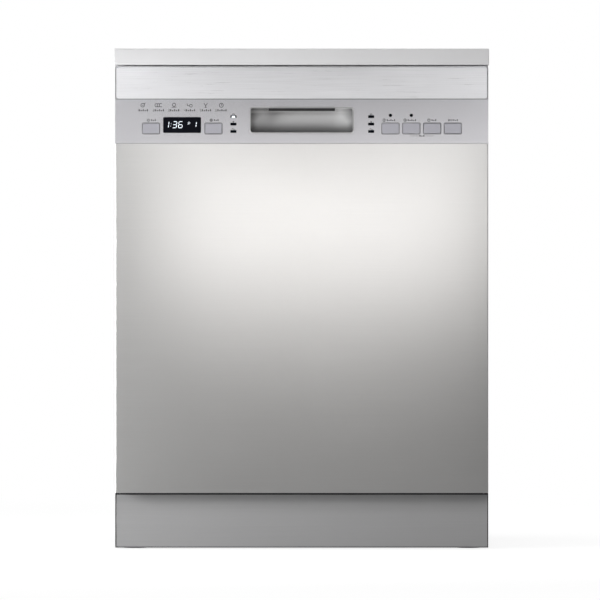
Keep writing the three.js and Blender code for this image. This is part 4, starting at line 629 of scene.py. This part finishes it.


# Printed marks on the console, all of them plain signs and numbers, and dark lines of painted
# shade round the buttons, the trim strip and the recess mouth
class Print:
    """Flat strokes in the console's plane, facing the front."""

    def __init__(self, proud):
        self.bm = bmesh.new()
        self.y = FRONT - proud

    def quad(self, corners):
        verts = [self.bm.verts.new((x * MM, self.y * MM, z * MM)) for x, z in corners]
        self.bm.faces.new(verts)

    def line(self, a, b, width):
        (x0, z0), (x1, z1) = a, b
        length = math.hypot(x1 - x0, z1 - z0)
        dx, dz = (x1 - x0) / length * width / 2, (z1 - z0) / length * width / 2
        self.quad([(x0 - dz, z0 + dx), (x1 - dz, z1 + dx), (x1 + dz, z1 - dx), (x0 + dz, z0 - dx)])

    def path(self, points, width=0.45):
        for a, b in zip(points, points[1:]):
            self.line(a, b, width)

    def arc(self, x, z, radius, width, start=0.0, end=360.0, steps=20):
        angles = [math.radians(start + (end - start) * k / steps) for k in range(steps + 1)]
        for a, b in zip(angles, angles[1:]):
            inner, outer = radius - width / 2, radius + width / 2
            self.quad([
                (x + outer * math.cos(a), z + outer * math.sin(a)),
                (x + outer * math.cos(b), z + outer * math.sin(b)),
                (x + inner * math.cos(b), z + inner * math.sin(b)),
                (x + inner * math.cos(a), z + inner * math.sin(a))])

    def place(self, name, slot, material):
        """Makes the strokes one piece of the door."""
        for face in self.bm.faces:
            face.normal_update()
            if face.normal.y > 0:
                face.normal_flip()
        mesh = bpy.data.meshes.new(name)
        self.bm.to_mesh(mesh)
        self.bm.free()
        new_object(name, mesh, "door", slot, material)


SEGMENTS = {"1": "bc", "2": "abged", "3": "abgcd", "4": "fgbc", "5": "afgcd", "6": "afgedc"}


def digit(ink, text, x, z, wide, tall, stroke, slant=0.0):
    """One number made of straight strokes, set with its lower left corner at x, z."""

    def at(u, v):
        return x + u * wide + v * tall * slant, z + v * tall

    ends = {
        "a": (at(0, 1), at(1, 1)), "b": (at(1, 1), at(1, 0.5)), "c": (at(1, 0.5), at(1, 0)),
        "d": (at(0, 0), at(1, 0)), "e": (at(0, 0.5), at(0, 0)), "f": (at(0, 1), at(0, 0.5)),
        "g": (at(0, 0.5), at(1, 0.5))}
    trim = stroke * 0.6
    for name in SEGMENTS[text]:
        (ax, az), (bx, bz) = ends[name]
        length = math.hypot(bx - ax, bz - az)
        ux, uz = (bx - ax) / length * trim, (bz - az) / length * trim
        ink.line((ax + ux, az + uz), (bx - ux, bz - uz), stroke)


def level_bars(ink, x, z, counts, wide=1.7, tall=2.5, pitch=2.9):
    """A row of short bars of two heights, like the marks of a scale."""
    for k in range(counts):
        left = x + k * pitch
        top = z + tall * (0.62 if k % 2 else 1.0)
        ink.quad([(left, z), (left + wide, z), (left + wide, top), (left, top)])


def program_signs(ink):
    """Six small signs above the display: pot, plates, bowl, cups, glass and clock."""
    z, w = 709.4, 0.95
    pot, plates, bowl, cups, glass, clock = -254.0, -228.4, -204.0, -178.9, -153.4, -128.5
    ink.arc(pot, z, 2.9, w)
    ink.line((pot + 2.3, z + 2.3), (pot + 4.6, z + 3.8), w)
    ink.line((pot - 1.3, z), (pot + 1.5, z), w)
    for k in (-3.4, 0, 3.4):
        ink.arc(plates + k, z, 2.6, w, 50, 310)
    ink.arc(bowl, z + 0.8, 2.6, w)
    ink.line((bowl - 3.8, z - 3.1), (bowl + 3.8, z - 3.1), w)
    ink.path([(cups - 4.0, z + 2.6), (cups - 4.0, z - 0.6), (cups - 1.2, z - 0.6)], w)
    ink.arc(cups + 1.9, z - 0.8, 2.2, w)
    ink.path([(glass - 2.9, z + 3.3), (glass, z - 0.6), (glass + 2.9, z + 3.3)], w)
    ink.line((glass, z - 0.6), (glass, z - 3.3), w)
    ink.line((glass - 1.8, z - 3.3), (glass + 1.8, z - 3.3), w)
    ink.arc(clock, z, 3.2, w)
    ink.path([(clock, z + 2.0), (clock, z), (clock + 1.5, z)], w)
    for k, x in enumerate((pot, plates, bowl, cups, glass, clock)):
        digit(ink, str(k + 1), x - 9.2, 699.3, 2.0, 3.8, 0.65)
        level_bars(ink, x - 6.2, 699.8, 5, 1.8, 3.1, 3.2)


def button_signs(ink):
    """A plain sign over each button, and a brace under the two middle ones."""
    z, w = 685.6, 0.8
    power, program, half, extra, delay, start = -244.8, -144.6, 131.6, 165.0, 203.0, 236.6
    ink.arc(power, z, 2.0, w, 120, 420)
    ink.line((power, z + 0.4), (power, z + 2.6), w)
    level_bars(ink, power + 4.2, z - 1.2, 3)
    ink.arc(program, z, 2.1, w)
    ink.arc(program, z, 0.9, w)
    level_bars(ink, program + 4.2, z - 1.2, 3)
    ink.arc(half, z, 2.1, w)
    ink.line((half, z - 2.1), (half, z + 2.1), w)
    level_bars(ink, half + 4.2, z - 1.2, 5)
    ink.arc(extra, z, 2.1, w)
    ink.line((extra - 1.1, z), (extra + 1.1, z), w)
    ink.line((extra, z - 1.1), (extra, z + 1.1), w)
    level_bars(ink, extra + 4.2, z - 1.2, 5)
    ink.arc(delay, z, 2.1, w)
    ink.path([(delay, z + 1.3), (delay, z), (delay + 1.0, z)], w)
    level_bars(ink, delay + 4.2, z - 1.2, 3)
    back, low, high = start - 2.4, z - 1.6, z + 1.6
    ink.path([(back, low), (back, high), (start + 0.4, z), (back, low)], w)
    for x in (start + 1.6, start + 3.2):
        ink.line((x, low), (x, high), w)
    level_bars(ink, start + 5.2, z - 1.2, 3)
    brace = 660.4
    ink.path([(174.0, brace + 1.2), (174.0, brace), (186.4, brace)])
    ink.path([(197.6, brace), (210.1, brace), (210.1, brace + 1.2)])
    level_bars(ink, 187.8, brace - 1.1, 3, 1.9, 2.4, 3.1)


def lamp_signs(ink):
    """Small signs over the indicator windows."""
    left, right = -109.1, 110.8
    w = 0.65
    for x, z in ((left, 694.4), (right, 694.2)):
        ink.arc(x, z, 1.7, w, 0, 180)
        ink.line((x - 2.2, z), (x + 2.2, z), w)
    for x, z in ((left, 682.9), (right, 682.7)):
        for angle in (30, 90, 150):
            dx, dz = 1.5 * math.cos(math.radians(angle)), 1.5 * math.sin(math.radians(angle))
            ink.line((x - dx, z - dz), (x + dx, z + dz), 0.6)
    for x, z in ((left, 671.2), (right, 671.0)):
        ink.arc(x - 0.8, z, 1.1, w, 20, 200)
        ink.arc(x + 1.2, z, 1.1, w, 200, 380)


def painted_button_shade(ink):
    """Painted shade: a fine dark line in the console round each button, where the gap round it
    falls in shade.
    """
    half_width, z0, z1, corner, width = 14.1, 663.3, 681.3, 2.2, 0.9
    for k in range(1, 7):
        low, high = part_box(f"button_{k}")
        middle = (low.x + high.x) / 2 / MM
        x0, x1 = middle - half_width, middle + half_width
        left, right, foot, head = x0 + corner, x1 - corner, z0 + corner, z1 - corner
        for a, b in (
                ((left, z0), (right, z0)), ((left, z1), (right, z1)),
                ((x0, foot), (x0, head)), ((x1, foot), (x1, head))):
            ink.line(a, b, width)
        for x, z, start in (
                (right, head, 0), (left, head, 90), (left, foot, 180), (right, foot, 270)):
            ink.arc(x, z, corner, width, start, start + 90, 5)


def panel_shade_lines(ink):
    """Painted shade: fine dark lines where the lip and groove round the trim strip and the edge of
    the recess mouth fall in shade.
    """
    trim_side, trim_foot, trim_head = 297.1, 719.2, 771.2
    mouth_side, mouth_foot, mouth_head, corner = 82.3, 665.1, 706.0, 3.3
    straight = mouth_side - corner
    ink.line((0.5 - trim_side, trim_foot), (trim_side - 0.5, trim_foot), 0.9)
    for side in (-1, 1):
        ink.line((side * trim_side, trim_foot), (side * trim_side, trim_head), 1.0)
        ink.line((side * mouth_side, 669.0), (side * mouth_side, 702.0), 0.8)
    ink.line((-straight, mouth_head), (straight, mouth_head), 0.8)
    ink.line((-straight, mouth_foot), (straight, mouth_foot), 0.6)
    for x, start in ((straight, 0), (-straight, 90)):
        ink.arc(x, mouth_head - corner, corner, 0.8, start, start + 90, 5)


def display_signs(ink):
    """Plain numbers and a drop on the display, and the window that is lit."""
    slant, stroke, foot, tall = 0.14, 0.85, 673.4, 9.9
    for text, x, wide in (("1", -217.6, 4.4), ("3", -206.4, 5.8), ("6", -197.2, 5.8)):
        digit(ink, text, x, foot, wide, tall, stroke, slant)
    for up in (2.6, 6.6):
        x = -209.6 + up * slant
        ink.line((x, 673.0 + up), (x, 673.7 + up), 0.7)
    ink.arc(-180.0, 681.2, 1.4, 0.4)
    ink.line((-181.0, 679.8), (-181.8, 678.0), 0.4)
    digit(ink, "1", -172.6, 674.6, 3.4, 8.2, stroke, slant)
    ink.quad([(-112.2, 689.3), (-106.0, 689.3), (-106.9, 692.3), (-111.3, 692.3)])


def make_prints():
    marks = Print(0.02)
    program_signs(marks)
    button_signs(marks)
    lamp_signs(marks)
    marks.place("console_marks", "console_silver", print_ink)
    outlines = Print(0.01)
    painted_button_shade(outlines)
    panel_shade_lines(outlines)
    outlines.place("painted_button_shade", "console_silver", painted_gap_shade)
    lit = Print(0.03)
    display_signs(lit)
    lit.place("display_digits", "dark_lens", digit_light)


make_prints()


# Fixings that show when the door is open or from behind
LINER_FACE = -250
REAR_FACE = 288
BACKWARDS = (0, 1, 0)


def add_screw(bm, x, y, z, radius):
    """A domed screw head with a socket, facing the back."""
    add_turned(bm, [
        (0, 0), (radius, 0), (radius * 0.92, 1.0), (radius * 0.6, 1.7), (radius * 0.3, 1.8),
        (radius * 0.26, 0.9), (0, 0.9)], (x, y, z), BACKWARDS, 24)


def make_screws():
    liner = bmesh.new()
    for s in (-1, 1):
        for z in (160, 300, 440, 580, 720):
            add_screw(liner, s * 262, LINER_FACE, z, 3.6)
        for x in (90, 200):
            add_screw(liner, s * x, LINER_FACE, 752, 3.6)
    new_object("liner_screws", mesh_from("liner_screws", liner, 30.0), "door", "zinc")
    rear = bmesh.new()
    for s in (-1, 1):
        for z in (40, 220, 400, 580, 745):
            add_screw(rear, s * 285, REAR_FACE, z, 3.4)
    new_object("rear_screws", mesh_from("rear_screws", rear, 30.0), "cabinet", "zinc")


def make_kick_shadow_edging():
    """Dark rubber strips round the kickplate's front face and in the gap above it, standing in for
    the shadow lines in those gaps: painted shadow.
    """
    low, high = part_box("kickplate")
    x, y, z0, z1 = high.x / MM - 0.15, low.y / MM, low.z / MM, high.z / MM
    proud, deep, side, top, bottom = 0.35, 1.2, 1.5, 2.3, 1.4
    bm = bmesh.new()
    add_box(bm, (-x, y - proud, z1 - top), (x, y + deep, z1 + proud))
    add_box(bm, (-x, y - proud, z0), (x, y + deep, z0 + bottom))
    for s in (-1, 1):
        near, far = sorted((s * x, s * (x - side)))
        add_box(bm, (near, y - proud, z0 + bottom), (far, y + deep, z1 - top))
    add_box(bm, (-x + 1.0, y + deep, z1 - 0.1), (x - 1.0, high.y / MM - 0.6, z1 + proud))
    edging = new_object("kick_shadow_edging", mesh_from("kick_shadow_edging", bm), "cabinet", "rubber")
    softened(edging, 0.12)


THREAD_PROFILE = [(11.8, 0), (12.9, 0.9), (11.8, 1.8)]
BARB_PROFILE = [(8.6, 0), (10.2, 0.4), (8.9, 3.2)]


def make_hose_necks():
    """The thread of the water inlet and the barbs of the outlet."""
    thread = bmesh.new()
    for k in range(4):
        add_turned(thread, THREAD_PROFILE, (-205, 288.6 + 2.3 * k, 60), BACKWARDS)
    new_object("inlet_thread", mesh_from("inlet_thread", thread, 20.0), "cabinet", "white_plastic")
    barbs = bmesh.new()
    for k in range(3):
        add_turned(barbs, BARB_PROFILE, (205, 287.4 + 3.4 * k, 58), BACKWARDS)
    new_object("outlet_barbs", mesh_from("outlet_barbs", barbs, 20.0), "cabinet", "black_plastic")


# The kick edging is painted shadow in the gaps round the kickplate.
make_kick_shadow_edging()
make_screws()
make_hose_necks()


# Any CAD node that still shows gets its finish
for node_name, node in nodes.items():
    for place in node.material_slots:
        place.material = finish[slot_of[node_name]]


# Floor, world and lamps
FLOOR_RADIUS = 7.0
FLOOR_DROP = 0.0004
FLOOR_GLOW = 0.80
FLOOR_FADE_START = 0.9
FLOOR_FADE_END = 2.4
WORLD_FRONT = 0.10
WORLD_AMBIENT = 0.20
WHITE = (1.0, 1.0, 1.0, 1.0)


def make_floor():
    """A pale matt floor that fades into the background away from the object."""
    bm = bmesh.new()
    bmesh.ops.create_circle(bm, cap_ends=True, segments=96, radius=FLOOR_RADIUS)
    mesh = bpy.data.meshes.new("floor")
    bm.to_mesh(mesh)
    bm.free()
    floor = bpy.data.objects.new("floor", mesh)
    floor.location.z = -FLOOR_DROP
    scene.collection.objects.link(floor)
    material = bpy.data.materials.new("floor")
    material.use_nodes = True
    tree = material.node_tree
    tree.nodes.clear()
    add, link = tree.nodes.new, tree.links.new
    where = add("ShaderNodeTexCoord").outputs["Object"]
    length = add("ShaderNodeVectorMath")
    length.operation = "LENGTH"
    link(where, length.inputs[0])
    fade = map_range(
        tree, length.outputs["Value"], FLOOR_FADE_START, FLOOR_FADE_END, 0.0, 1.0, True)
    noise = add("ShaderNodeTexNoise")
    noise.inputs["Scale"].default_value = 30.0
    link(where, noise.inputs["Vector"])
    ramp = add("ShaderNodeValToRGB")
    ramp.color_ramp.elements[0].color = (0.42, 0.42, 0.42, 1.0)
    ramp.color_ramp.elements[1].color = (0.44, 0.44, 0.44, 1.0)
    link(noise.outputs["Fac"], ramp.inputs["Fac"])
    matt = add("ShaderNodeBsdfDiffuse")
    link(ramp.outputs["Color"], matt.inputs["Color"])
    paths = add("ShaderNodeLightPath")
    own = add("ShaderNodeEmission")
    own.inputs["Color"].default_value = WHITE
    strength = add("ShaderNodeMath")
    strength.operation = "MULTIPLY"
    strength.inputs[1].default_value = FLOOR_GLOW
    link(paths.outputs["Is Camera Ray"], strength.inputs[0])
    link(strength.outputs[0], own.inputs["Strength"])
    near = add("ShaderNodeAddShader")
    link(matt.outputs[0], near.inputs[0])
    link(own.outputs[0], near.inputs[1])
    white = add("ShaderNodeEmission")
    white.inputs["Color"].default_value = WHITE
    far = blend(tree, paths.outputs["Is Camera Ray"], matt.outputs[0], white.outputs[0])
    surface = blend(tree, fade, near.outputs[0], far)
    link(surface, add("ShaderNodeOutputMaterial").inputs["Surface"])
    mesh.materials.append(material)


def make_world():
    """White to the eye, dim to rough surfaces, and dark to mirrors on the front side."""
    world = bpy.data.worlds.new("world")
    world.use_nodes = True
    scene.world = world
    tree = world.node_tree
    tree.nodes.clear()
    add, link = tree.nodes.new, tree.links.new

    def background(strength):
        node = add("ShaderNodeBackground")
        node.inputs["Color"].default_value = WHITE
        node.inputs["Strength"].default_value = strength
        return node

    split = add("ShaderNodeSeparateXYZ")
    link(add("ShaderNodeTexCoord").outputs["Generated"], split.inputs[0])
    behind = map_range(tree, split.outputs["Y"], -0.35, 0.35, WORLD_FRONT, 1.0, True)
    ambient = background(WORLD_AMBIENT)
    mirrored = background(1.0)
    link(behind, mirrored.inputs["Strength"])
    white = background(1.0)
    paths = add("ShaderNodeLightPath")
    either = add("ShaderNodeMath")
    either.operation = "MAXIMUM"
    link(paths.outputs["Is Glossy Ray"], either.inputs[0])
    link(paths.outputs["Is Transmission Ray"], either.inputs[1])
    unseen = blend(tree, either.outputs[0], ambient.outputs[0], mirrored.outputs[0])
    light = blend(tree, paths.outputs["Is Camera Ray"], unseen, white.outputs[0])
    link(light, add("ShaderNodeOutputWorld").inputs["Surface"])


def make_lamp(name, place, target, size, power, colour=(1.0, 1.0, 1.0)):
    data = bpy.data.lights.new(name, "AREA")
    data.color = colour
    data.shape = "RECTANGLE"
    data.size, data.size_y = size
    data.energy = power
    lamp = bpy.data.objects.new(name, data)
    lamp.location = place
    lamp.rotation_euler = (Vector(target) - Vector(place)).to_track_quat("-Z", "Y").to_euler()
    lamp.visible_camera = False
    scene.collection.objects.link(lamp)


make_floor()
make_world()
make_lamp("band", (0.07, -1.35, 0.54), (0.07, -0.3, 0.52), (1.00, 0.20), 1.64, (1.0, 0.98, 0.965))
make_lamp("upper_left", (-0.46, -1.35, 0.98), (-0.35, -0.3, 0.80), (0.26, 0.2), 0.95)
make_lamp("upper_right", (0.52, -1.35, 0.98), (0.35, -0.3, 0.80), (0.26, 0.2), 0.95)
make_lamp("left", (-1.45, -1.1, 0.30), (-0.2, -0.3, 0.40), (0.5, 0.7), 22.0)
make_lamp("right", (1.9, -1.5, 1.1), (0.2, -0.2, 0.5), (0.6, 0.6), 0.3)
make_lamp("top", (0.0, 0.2, 2.6), (0.0, 0.0, 0.4), (1.6, 1.6), 17.0)
make_lamp("behind", (1.2, 2.4, 1.8), (0.0, 0.2, 0.4), (2.0, 2.0), 9.0)

scene.view_settings.view_transform = "Standard"
